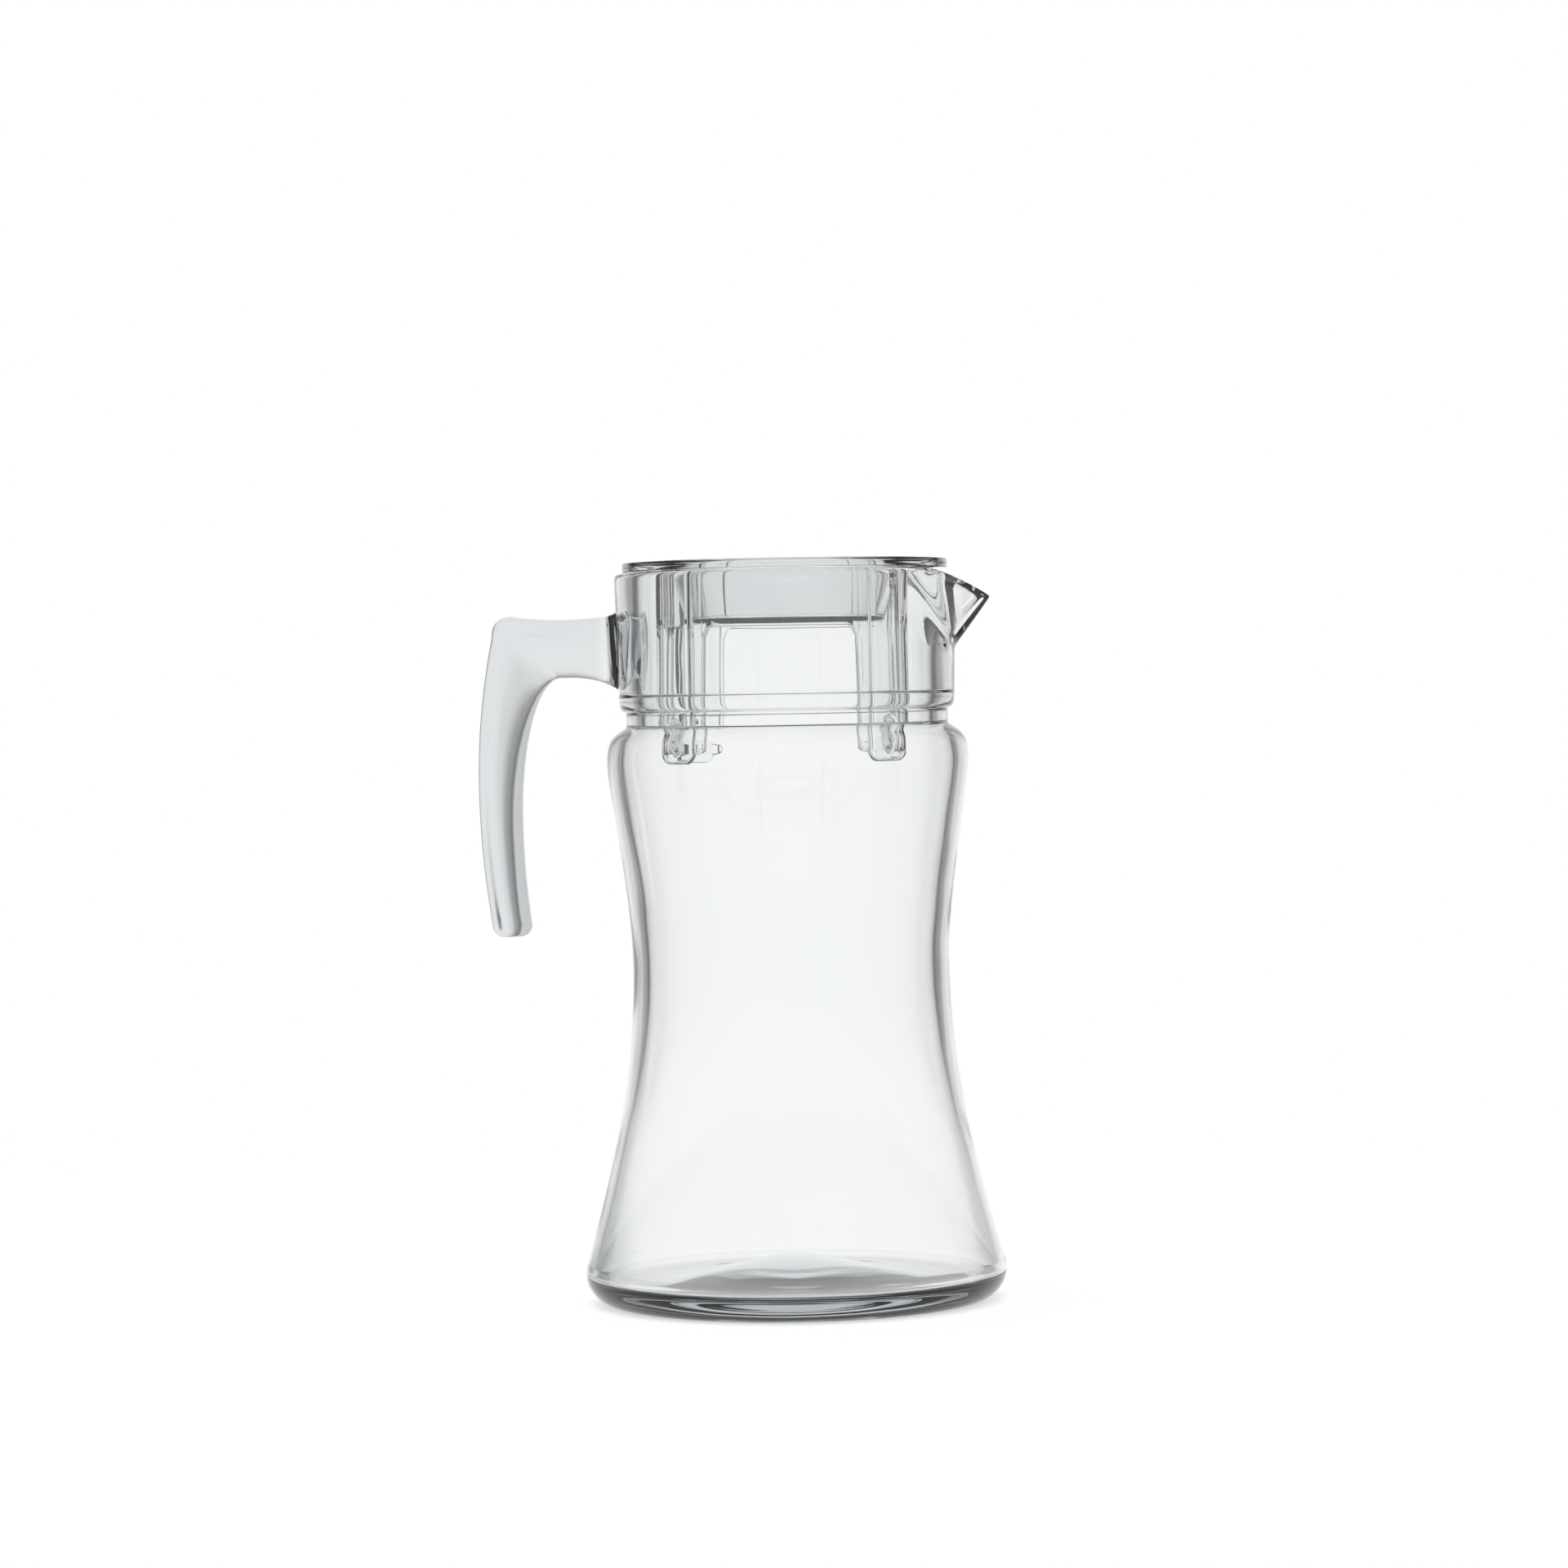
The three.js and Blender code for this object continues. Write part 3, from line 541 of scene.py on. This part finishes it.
# %% [markdown]
# ## The lid's cage
# Under the disc a thin skirt goes round and steps out at each of four legs, like the pilasters of a column.
# The legs are channels: a face with a flank on each side. Their lower ends carry nubs that snap under the
# throat of the jug. A solid with cuts would do, but a moulding has the same wall everywhere. So the cage is
# made as a sheet: a middle contour in plan times a height, moved half a wall outwards and inwards, with a
# round edge swept along its border. Four equal quarters make the contour, and a last turn of the points
# brings the legs a little nearer to the beak and to the handle.

# %% Contours of the cage in plan
LEGS = 4
QUARTER = 90.0
LEG_FACE = 42.2
LEG_WIDTH = 15.4
LEG_ANGLE = 45.0
SHEET = LID_WALL / 2
FOLD_ROUND = 0.6
FOLD_STEPS = 5
ARC_STEPS = 14
FLANK_STEPS = 4
FACE_STEPS = 13


def fillet(before, corner, after, steps):
    """A quadratic bend that leaves one side and joins the other at the fold's distance from the corner."""
    into = (before - corner) / np.linalg.norm(before - corner)
    out = (after - corner) / np.linalg.norm(after - corner)
    return bezier(corner + FOLD_ROUND * into, corner, corner + FOLD_ROUND * out, steps=steps)


def leg_contour(inset):
    """One quarter of a contour, with its leg along +X, from -45 to +45 degrees: skirt, flank, face, flank,
    skirt. The inset moves it inwards from the outer face of the wall."""
    radius = SKIRT_RADIUS - inset
    half = LEG_WIDTH / 2 - inset
    face = LEG_FACE - inset
    foot = np.array([math.sqrt(radius**2 - half**2), half])
    brow = np.array([face, half])
    leg_side = math.degrees(math.asin(half / radius) + FOLD_ROUND / radius)
    skirt = arc((0, 0), (radius, radius), LEG_ANGLE, leg_side, ARC_STEPS)
    fold_in = fillet(skirt[-1], foot, brow, FOLD_STEPS)
    fold_in[0] = skirt[-1]
    fold_out = fillet(foot, brow, np.array([face, 0]), FOLD_STEPS)
    half_run = chain(
        skirt,
        fold_in,
        bezier(fold_in[-1], fold_out[0], steps=FLANK_STEPS),
        fold_out,
        bezier(fold_out[-1], (face, 0), steps=FACE_STEPS),
    )
    mirrored = half_run[-2::-1] * np.array([1, -1])
    return np.concatenate([half_run, mirrored])[::-1]


outer_quarter = leg_contour(0)
inner_quarter = leg_contour(LID_WALL)
print("cage contour:", len(outer_quarter), "points a quarter")

# %% Columns of the cage, four quarters round the axis
per_quarter = len(outer_quarter) - 1
leg_turns = np.radians(LEG_ANGLE + QUARTER * np.arange(LEGS))
spins = np.array([[np.cos(leg_turns), np.sin(leg_turns)], [-np.sin(leg_turns), np.cos(leg_turns)]])
spins = np.moveaxis(spins, -1, 0)
plan_out = (outer_quarter[:-1] @ spins).reshape(-1, 2)
plan_in = (inner_quarter[:-1] @ spins).reshape(-1, 2)
plan = (plan_out + plan_in) / 2
outward = np.concatenate([(plan_out - plan_in) / 2, np.zeros((len(plan), 1))], axis=1)
column = np.arange(per_quarter)
on_leg = np.tile((column >= ARC_STEPS) & (column <= per_quarter - ARC_STEPS), LEGS)
behind_face = np.tile(LEG_FACE - outer_quarter[:-1, 0], LEGS)
across_face = np.tile(outer_quarter[:-1, 1], LEGS)
leg_forward = np.repeat(spins[:, 0], per_quarter, axis=0)
print("cage columns:", len(plan))

# %% Heights of the cage's borders
SKIRT_FOOT = 209.9
POUR_SKIRT_FOOT = 223.9
ARCH_ROUND = 4.0
TIP_ROUND = 2.6
FLANK_RISE = 2.2


def band_foot():
    """Lower border of the skirt: level between the legs, with a quarter-round arch beside each leg."""
    azimuth = np.degrees(np.arctan2(plan[:, 1], plan[:, 0]))
    from_leg = np.abs((azimuth - LEG_ANGLE + QUARTER / 2) % QUARTER - QUARTER / 2)
    gap = np.radians(from_leg - from_leg[on_leg].max()) * SKIRT_RADIUS
    share = np.clip(1 - gap / ARCH_ROUND, 0, 1)
    arch = ARCH_ROUND * (1 - np.sqrt(1 - share**2))
    level = np.where(np.abs(azimuth) < LEG_ANGLE, POUR_SKIRT_FOOT, SKIRT_FOOT) + SHEET
    return np.where(on_leg, SKIRT_FOOT + SHEET - ARCH_ROUND, level - arch)


def leg_foot():
    """Lower border of the legs: level under the face, round at its corners, and higher on the flanks."""
    over = np.clip(np.abs(across_face) - (LEG_WIDTH / 2 - TIP_ROUND), 0, TIP_ROUND)
    corner = TIP_ROUND - np.sqrt(TIP_ROUND**2 - over**2)
    return LEG_TIP + SHEET + corner + FLANK_RISE * behind_face / behind_face.max()


band_low = band_foot()
leg_low = leg_foot()
print("band foot", band_low.min().round(1), "to", band_low.max().round(1), "leg foot", leg_low.min().round(1))

# %% Two faces of the cage's wall
BAND_ROWS = 10
LEG_ROWS = 64
FLANK_TAPER = 0.2
NUB_PROUD = 1.9
NUB_WIDTH = 6.6
NUB_HEIGHT = 10.6
NUB_CENTRE = 176.5
NUB_POWER = 0.6


def cage_faces():
    """Rows from the top border to the band's foot, then down the legs, whose flanks get narrower by a share
    that grows with the way down. A nub is proud (1 - dy^2 - dz^2)^p on the outer face."""
    band = np.linspace(0, 1, BAND_ROWS + 1)[:, None]
    down = np.linspace(0, 1, LEG_ROWS + 1)[1:, None]
    top = CAGE_TOP - SHEET
    z = np.concatenate([top + (band_low - top) * band, band_low + (leg_low - band_low) * down])
    taper = np.concatenate([np.zeros((BAND_ROWS + 1, len(plan))), FLANK_TAPER * behind_face * down])
    xy = plan + taper[..., None] * leg_forward
    middle = np.concatenate([xy, z[..., None]], axis=-1)
    off = (across_face / (NUB_WIDTH / 2)) ** 2 + ((z - NUB_CENTRE) / (NUB_HEIGHT / 2)) ** 2
    nub = NUB_PROUD * np.clip(1 - off, 0, 1) ** NUB_POWER * on_leg
    proud = nub[..., None] * outward / SHEET
    return middle, middle + outward + proud, middle - outward


middle, cage_out, cage_in = cage_faces()
print("cage rows:", middle.shape[0])

# %% Close the cage with a round edge and make its mesh
EDGE_STEPS = 6
LEG_SHIFT = math.radians(4)


def lower_border(ids):
    """The border below, once round: along each skirt, down one side of a leg, under its tip and up again."""
    runs = []
    for start in range(0, len(plan), per_quarter):
        first = start + ARC_STEPS
        last = start + per_quarter - ARC_STEPS
        runs += [
            ids[BAND_ROWS, start:first],
            ids[BAND_ROWS:-1, first],
            ids[-1, first:last + 1],
            ids[BAND_ROWS:-1, last][::-1],
            ids[BAND_ROWS, last + 1:start + per_quarter],
        ]
    return np.concatenate(runs)


def round_edge(border, side):
    """Half an ellipse over the border, P + cos t H + h sin t D: H is half the wall from the middle to the
    outer face (t = 0), D points out of the sheet and t ends on the inner face."""
    spot = middle.reshape(-1, 3)[border]
    half_wall = np.broadcast_to(outward, middle.shape).reshape(-1, 3)[border]
    away = side * np.cross(np.roll(spot, -1, axis=0) - np.roll(spot, 1, axis=0), half_wall)
    away /= np.linalg.norm(away, axis=1)[:, None]
    t = np.linspace(0, math.pi, EDGE_STEPS + 1)[1:-1, None, None]
    return spot + np.cos(t) * half_wall + SHEET * np.sin(t) * away


def wrap_quads(ids, usable):
    """Quads between neighbouring rows and columns of an id grid, closed round, where all four are usable."""
    beside = np.roll(ids, -1, axis=1)
    good = usable & np.roll(usable, -1, axis=1)
    return np.stack([ids[:-1], ids[1:], beside[1:], beside[:-1]], axis=-1)[good[:-1] & good[1:]]


def shift_legs(points):
    """Each point turns about the axis by -shift sin(2 a), which brings the legs nearer to beak and handle."""
    x, y, z = points.T
    r = np.hypot(x, y)
    azimuth = np.arctan2(y, x)
    azimuth = azimuth - LEG_SHIFT * np.sin(2 * azimuth)
    return np.stack([r * np.cos(azimuth), r * np.sin(azimuth), z], axis=1)


def cage_mesh():
    """Outer face, inner face and both edges as one closed mesh, without the grid points that no face uses."""
    ids = np.arange(middle[..., 0].size).reshape(middle.shape[:2])
    usable = (np.arange(len(ids)) <= BAND_ROWS)[:, None] | on_leg
    points = [cage_out.reshape(-1, 3), cage_in.reshape(-1, 3)]
    quads = [wrap_quads(ids, usable), wrap_quads(ids + ids.size, usable)]
    total = 2 * ids.size
    for border, side in ((lower_border(ids), 1), (ids[0], -1)):
        strip = round_edge(border, side)
        strip_ids = total + np.arange(strip[..., 0].size).reshape(strip.shape[:2])
        rows = np.concatenate([border[None], strip_ids, border[None] + ids.size])
        quads.append(wrap_quads(rows, np.ones(rows.shape, bool)))
        points.append(strip.reshape(-1, 3))
        total += strip_ids.size
    used, faces = np.unique(np.concatenate(quads), return_inverse=True)
    corners = shift_legs(np.concatenate(points)[used])
    return new_mesh("lid_cage_skin", corners, faces.reshape(-1, 4).tolist())


lid_cage_skin = cage_mesh()
face_out(lid_cage_skin)

# %% [markdown]
# ## Clear materials
# Clear glass and clear plastic differ in small things. Glass is very slightly bluish, and its pressed and
# fire-polished faces are softly wavy. The plastic is greyer, flatter and carries fine rub marks. The handle
# was pressed in a mould of its own, so it is a little softer than the blown body. The grey that darkens it
# is painted shade, for the dark that its rounded section bends in. Image textures would need unwrapping and
# would show their grain, so all of it is procedural. Noise in object coordinates tints the surface, dulls it
# in places and tilts its normals by a hair, and a mask along X finds the handle.

# %% Small node helpers
def noise(tree, place, scale, detail):
    """A cloudy noise over the object coordinates, from 0 to 1."""
    node = tree.nodes.new("ShaderNodeTexNoise")
    node.inputs["Scale"].default_value = scale
    node.inputs["Detail"].default_value = detail
    tree.links.new(place.outputs["Object"], node.inputs["Vector"])
    return node


def map_range(tree, value, low, high, start=0.0, end=1.0, interpolation="LINEAR"):
    """Values from low to high become values from start to end, and stay there beyond."""
    node = tree.nodes.new("ShaderNodeMapRange")
    node.interpolation_type = interpolation
    node.inputs["From Min"].default_value = low
    node.inputs["From Max"].default_value = high
    node.inputs["To Min"].default_value = start
    node.inputs["To Max"].default_value = end
    tree.links.new(value, node.inputs["Value"])
    return node.outputs["Result"]


def multiply_colours(tree):
    """A colour mix that multiplies A by B, as far as its factor says."""
    node = tree.nodes.new("ShaderNodeMix")
    node.data_type = "RGBA"
    node.blend_type = "MULTIPLY"
    return node


# %% Body, colour and waves of a clear material
TINT_RANGE = (0.35, 0.65)
WAVE_DETAIL = 1


def absorb(tree, colour, density):
    """The inside of the piece takes a little light away on the way through."""
    body = tree.nodes.new("ShaderNodeVolumeAbsorption")
    body.inputs["Color"].default_value = colour
    body.inputs["Density"].default_value = density
    tree.links.new(body.outputs["Volume"], tree.nodes["Material Output"].inputs["Volume"])


def cloudy_tint(tree, cloud, tints):
    """A ramp over the noise goes from one tint to the other."""
    ramp = tree.nodes.new("ShaderNodeValToRGB")
    for stop, position, colour in zip(ramp.color_ramp.elements, TINT_RANGE, tints):
        stop.position = position
        stop.color = colour
    tree.links.new(cloud.outputs["Fac"], ramp.inputs["Fac"])
    return ramp.outputs["Color"]


def wave_surface(tree, place, scale, depth):
    """A slow noise bumps the surface by less than a millimetre."""
    wave = noise(tree, place, scale, WAVE_DETAIL)
    bump = tree.nodes.new("ShaderNodeBump")
    bump.inputs["Distance"].default_value = depth
    tree.links.new(wave.outputs["Fac"], bump.inputs["Height"])
    tree.links.new(bump.outputs["Normal"], tree.nodes["Principled BSDF"].inputs["Normal"])


# %% The handle's painted shade and haze
HANDLE_STARTS = (-53.0, -60.0)
# Painted shade: a grey that darkens the handle, for the dark that its rounded section bends in.
HANDLE_PAINTED_SHADE = (0.83, 0.84, 0.85, 1)
HANDLE_HAZE = 0.05


def handle_mask(tree, place):
    """0 on the body and 1 on the handle, by a smooth step along X."""
    side = tree.nodes.new("ShaderNodeSeparateXYZ")
    tree.links.new(place.outputs["Object"], side.inputs["Vector"])
    low, high = HANDLE_STARTS
    return map_range(tree, side.outputs["X"], low * MM, high * MM, interpolation="SMOOTHSTEP")


def shade_and_soften_handle(tree, place, tint, roughness):
    """On the handle the tint is multiplied by a grey, which is painted shade, and its own haze is added to
    the roughness.
    """
    on_handle = handle_mask(tree, place)
    # The grey multiplied onto the handle's tint is painted shade.
    painted_shade = multiply_colours(tree)
    painted_shade.inputs["B"].default_value = HANDLE_PAINTED_SHADE
    tree.links.new(on_handle, painted_shade.inputs["Factor"])
    tree.links.new(tint, painted_shade.inputs["A"])
    rough = tree.nodes.new("ShaderNodeMath")
    rough.operation = "MULTIPLY_ADD"
    rough.inputs[1].default_value = HANDLE_HAZE
    tree.links.new(on_handle, rough.inputs[0])
    tree.links.new(roughness, rough.inputs[2])
    return painted_shade.outputs["Result"], rough.outputs["Value"]


# %% Glass and plastic
CLOUD_SCALE = 24
CLOUD_DETAIL = 3
HAZE_RANGE = (0.45, 0.75)


def clear_material(
    name, ior, body_colour, body_density, tints, haze, wave_scale, wave_depth, has_handle=False
):
    """Principled transmission with an absorbing body and a tinted, dulled and waved surface, with painted
    shade and haze on the handle where there is one.
    """
    material = bpy.data.materials.new(name)
    material.use_nodes = True
    tree = material.node_tree
    shader = tree.nodes["Principled BSDF"]
    shader.inputs["Transmission Weight"].default_value = 1
    shader.inputs["IOR"].default_value = ior
    absorb(tree, body_colour, body_density)
    place = tree.nodes.new("ShaderNodeTexCoord")
    cloud = noise(tree, place, CLOUD_SCALE, CLOUD_DETAIL)
    tint = cloudy_tint(tree, cloud, tints)
    roughness = map_range(tree, cloud.outputs["Fac"], *HAZE_RANGE, end=haze)
    if has_handle:
        tint, roughness = shade_and_soften_handle(tree, place, tint, roughness)
    tree.links.new(tint, shader.inputs["Base Color"])
    tree.links.new(roughness, shader.inputs["Roughness"])
    wave_surface(tree, place, wave_scale, wave_depth)
    return material


clear_glass = clear_material(
    "clear_glass",
    ior=1.5,
    body_colour=(0.0, 0.1, 0.15, 1),
    body_density=6,
    tints=((0.984, 0.992, 0.995, 1), (0.995, 1, 1, 1)),
    haze=0.012,
    wave_scale=30,
    wave_depth=0.0004,
    has_handle=True,
)
clear_plastic = clear_material(
    "clear_plastic",
    ior=1.49,
    body_colour=(0.0, 0.05, 0.1, 1),
    body_density=5,
    tints=((0.965, 0.968, 0.97, 1), (0.985, 0.988, 0.99, 1)),
    haze=0.03,
    wave_scale=60,
    wave_depth=0.0002,
)
jug_glass.data.materials.clear()
jug_glass.data.materials.append(clear_glass)
lid_cover_skin.data.materials.append(clear_plastic)
lid_cage_skin.data.materials.append(clear_plastic)
print("materials:", clear_glass.name, clear_plastic.name)

# %% [markdown]
# ## Join the pieces to the frame
# Each fine piece rides on the frame's body that carries its solid and takes that solid's place in the
# picture. Parenting by hand would do as well, but the frame already knows which body moves with which joint.

# %% Ride on the bodies
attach(jug_glass, "jug")
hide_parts("jug_body", "handle")
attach(lid_cover_skin, "lid")
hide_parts("lid_cover")
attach(lid_cage_skin, "lid_cage")
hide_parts("lid_cage")
print("riding:", jug_glass.name, lid_cover_skin.name, lid_cage_skin.name)

# %% [markdown]
# ## Bright-field light
# Clear glass has no colour of its own: it shows its surroundings, bent. Photographers set it before a white
# backdrop and stand dark cards beside it. The middle of the glass then shows the white, and the edges, which
# bend the light most, show the dark cards as fine outlines. Cards could be planes, but they would stand in
# the way of other views. So the world does it by direction: white behind, dark strips beside it, and a pale
# grey room for the rest.

# %% World by direction
CAMERA_AZIMUTH = math.radians(3.0)
BACK = (-math.sin(CAMERA_AZIMUTH), math.cos(CAMERA_AZIMUTH), 0.0)
ROOM = (
    (180, 0.85), (155, 0.85), (130, 0.8), (105, 0.75), (85, 0.7), (70, 0.6), (54, 0.5), (44, 0.12),
    (36, 0.35), (24, 0.85), (12, 1.0),
)
CEILING = 0.55
CEILING_RAMP = (0.45, 0.9)


def side_ramp(tree, place):
    """A ramp over the angle between the backdrop and the direction of view made level."""
    nodes = tree.nodes
    links = tree.links
    level = nodes.new("ShaderNodeVectorMath")
    level.operation = "MULTIPLY"
    level.inputs[1].default_value = (1, 1, 0)
    unit = nodes.new("ShaderNodeVectorMath")
    unit.operation = "NORMALIZE"
    facing = nodes.new("ShaderNodeVectorMath")
    facing.operation = "DOT_PRODUCT"
    facing.inputs[1].default_value = BACK
    angle = nodes.new("ShaderNodeMath")
    angle.operation = "ARCCOSINE"
    sides = nodes.new("ShaderNodeValToRGB")
    sides.color_ramp.interpolation = "EASE"
    sides.color_ramp.elements[0].color = (1, 1, 1, 1)
    sides.color_ramp.elements[1].color = (ROOM[0][1],) * 3 + (1,)
    for degrees, value in ROOM[1:]:
        sides.color_ramp.elements.new(degrees / 180).color = (value, value, value, 1)
    links.new(place.outputs["Generated"], level.inputs[0])
    links.new(level.outputs["Vector"], unit.inputs[0])
    links.new(unit.outputs["Vector"], facing.inputs[0])
    links.new(facing.outputs["Value"], angle.inputs[0])
    links.new(map_range(tree, angle.outputs["Value"], 0, math.pi), sides.inputs["Fac"])
    return sides.outputs["Color"]


def height_ramp(tree, place):
    """White up to a low height, and from there a soft fall to the grey of the ceiling."""
    height = tree.nodes.new("ShaderNodeSeparateXYZ")
    fall = tree.nodes.new("ShaderNodeValToRGB")
    fall.color_ramp.interpolation = "EASE"
    fall.color_ramp.elements[0].position = CEILING_RAMP[0]
    fall.color_ramp.elements[0].color = (1, 1, 1, 1)
    fall.color_ramp.elements[1].position = CEILING_RAMP[1]
    fall.color_ramp.elements[1].color = (CEILING, CEILING, CEILING, 1)
    tree.links.new(place.outputs["Generated"], height.inputs["Vector"])
    tree.links.new(height.outputs["Z"], fall.inputs["Fac"])
    return fall.outputs["Color"]


def studio_world():
    """Brightness by direction: the ramp over the sides times the ramp over the height."""
    world = bpy.data.worlds.new("studio")
    bpy.context.scene.world = world
    world.use_nodes = True
    tree = world.node_tree
    place = tree.nodes.new("ShaderNodeTexCoord")
    both = multiply_colours(tree)
    both.inputs["Factor"].default_value = 1
    tree.links.new(side_ramp(tree, place), both.inputs["A"])
    tree.links.new(height_ramp(tree, place), both.inputs["B"])
    tree.links.new(both.outputs["Result"], tree.nodes["Background"].inputs["Color"])
    print("world:", world.name, len(ROOM) + 1, "stops round the sides")


studio_world()

# %% [markdown]
# ## Floor, lamp and camera
# The floor is a pale disc that thins out towards its border, so there is no horizon for the glass to bend. A
# sheet that curves up behind the jug would hide it as well, but only from one side. Away from the jug the
# floor is nearly white by itself. Close to the jug and under it plain shading takes over, which keeps the
# shadow, and some white glow is left there as painted light, for the light that a table under clear glass
# gets through it.
# The camera is the photograph's: a long lens a little above the neck, turned by three degrees towards the
# beak side and rolled by one.

# %% Floor
FLOOR_RADIUS = 0.6
FLOOR_FADE = (0.4, 0.98)
FLOOR_CORE = 0.05
FLOOR_GAP = 0.05
FLOOR_AROUND = 96
FLOOR_RINGS = 12
FLOOR_GREY = (0.9, 0.9, 0.9, 1)
FLOOR_WHITE = 0.96
# Painted light: the white glow left under the jug, for the light that a table gets through clear glass.
FLOOR_UNDER_PAINTED_LIGHT = 0.35
SHADOW_REACH = (0.052, 0.069)


def floor_disc():
    """A flat disc just under the jug's base."""
    angles = np.linspace(0, 2 * math.pi, FLOOR_AROUND, endpoint=False)
    radii = np.linspace(FLOOR_CORE, 1, FLOOR_RINGS) * FLOOR_RADIUS / MM
    rings = turn(np.stack([radii, np.full(FLOOR_RINGS, -FLOOR_GAP)], axis=1), angles)
    ids = np.arange(FLOOR_RINGS * FLOOR_AROUND).reshape(FLOOR_RINGS, FLOOR_AROUND)
    quads = wrap_quads(ids, np.ones(ids.shape, bool))
    return new_mesh("floor", rings.reshape(-1, 3), quads.tolist() + [ids[0].tolist()])


def floor_material():
    """Pale diffuse under and beside the jug with a painted-light glow there, mostly white by itself further
    out, and clear at the border.
    """
    material = bpy.data.materials.new("pale_floor")
    material.use_nodes = True
    tree = material.node_tree
    nodes = tree.nodes
    links = tree.links
    nodes.remove(nodes["Principled BSDF"])
    place = nodes.new("ShaderNodeTexCoord")
    far = nodes.new("ShaderNodeVectorMath")
    far.operation = "LENGTH"
    links.new(place.outputs["Object"], far.inputs[0])
    # The glow near and under the jug is painted light; further out the floor is evenly white by itself.
    white_floor_and_painted_light = map_range(tree, far.outputs["Value"], *SHADOW_REACH, FLOOR_UNDER_PAINTED_LIGHT, FLOOR_WHITE, "SMOOTHSTEP")
    fade_low, fade_high = (share * FLOOR_RADIUS for share in FLOOR_FADE)
    fade = map_range(tree, far.outputs["Value"], fade_low, fade_high, interpolation="SMOOTHSTEP")
    shade = nodes.new("ShaderNodeBsdfDiffuse")
    shade.inputs["Color"].default_value = FLOOR_GREY
    white = nodes.new("ShaderNodeEmission")
    pale = nodes.new("ShaderNodeMixShader")
    clear = nodes.new("ShaderNodeBsdfTransparent")
    thin = nodes.new("ShaderNodeMixShader")
    links.new(white_floor_and_painted_light, pale.inputs["Fac"])
    links.new(shade.outputs["BSDF"], pale.inputs[1])
    links.new(white.outputs["Emission"], pale.inputs[2])
    links.new(fade, thin.inputs["Fac"])
    links.new(pale.outputs["Shader"], thin.inputs[1])
    links.new(clear.outputs["BSDF"], thin.inputs[2])
    links.new(thin.outputs["Shader"], nodes["Material Output"].inputs["Surface"])
    return material


floor = floor_disc()
floor.data.materials.append(floor_material())

# %% Lamp
LAMP_SPOT = (-0.15, 0.1, 1.5)
LAMP_TARGET = (0, 0, 0.1)
LAMP_SIZE = 1.2
LAMP_WATTS = 24


def area_lamp(name, spot, target, size, watts):
    """A square soft box at a spot, turned towards a target."""
    data = bpy.data.lights.new(name, "AREA")
    data.size = size
    data.energy = watts
    lamp = bpy.data.objects.new(name, data)
    aim = (Vector(target) - Vector(spot)).to_track_quat("-Z", "Y")
    lamp.matrix_world = Matrix.Translation(spot) @ aim.to_matrix().to_4x4()
    bpy.context.scene.collection.objects.link(lamp)
    return lamp


top_box = area_lamp("top_box", LAMP_SPOT, LAMP_TARGET, LAMP_SIZE, LAMP_WATTS)
top_box.visible_glossy = False
top_box.visible_transmission = False
print("lamp:", top_box.name, top_box.data.energy, "W")

# %% Camera
CAMERA_DISTANCE = 1.55
CAMERA_HEIGHT = 0.19
CAMERA_ROLL = math.radians(1.003)
LENS = 114.2
SENSOR_WIDTH = 36
AIM_HEIGHT = 0.161
AIM_LEFT = 0.0013


def photo_camera():
    """Right, up and backward directions as the columns of the camera's matrix, rolled about the view."""
    level_right = Vector((math.cos(CAMERA_AZIMUTH), math.sin(CAMERA_AZIMUTH), 0))
    eye = -CAMERA_DISTANCE * Vector(BACK) + Vector((0, 0, CAMERA_HEIGHT))
    aim = Vector((0, 0, AIM_HEIGHT)) - AIM_LEFT * level_right
    forward = (aim - eye).normalized()
    right = forward.cross(Vector((0, 0, 1))).normalized()
    up = right.cross(forward)
    rolled_up = up * math.cos(CAMERA_ROLL) + right * math.sin(CAMERA_ROLL)
    rolled_right = forward.cross(rolled_up)
    matrix = Matrix((rolled_right, rolled_up, -forward)).transposed().to_4x4()
    matrix.translation = eye
    data = bpy.data.cameras.new("photo_camera")
    data.lens = LENS
    data.sensor_width = SENSOR_WIDTH
    camera = bpy.data.objects.new("photo_camera", data)
    camera.matrix_world = matrix
    bpy.context.scene.collection.objects.link(camera)
    bpy.context.scene.camera = camera


photo_camera()
bpy.context.scene.view_settings.view_transform = "Standard"
print("camera:", bpy.context.scene.camera.name)
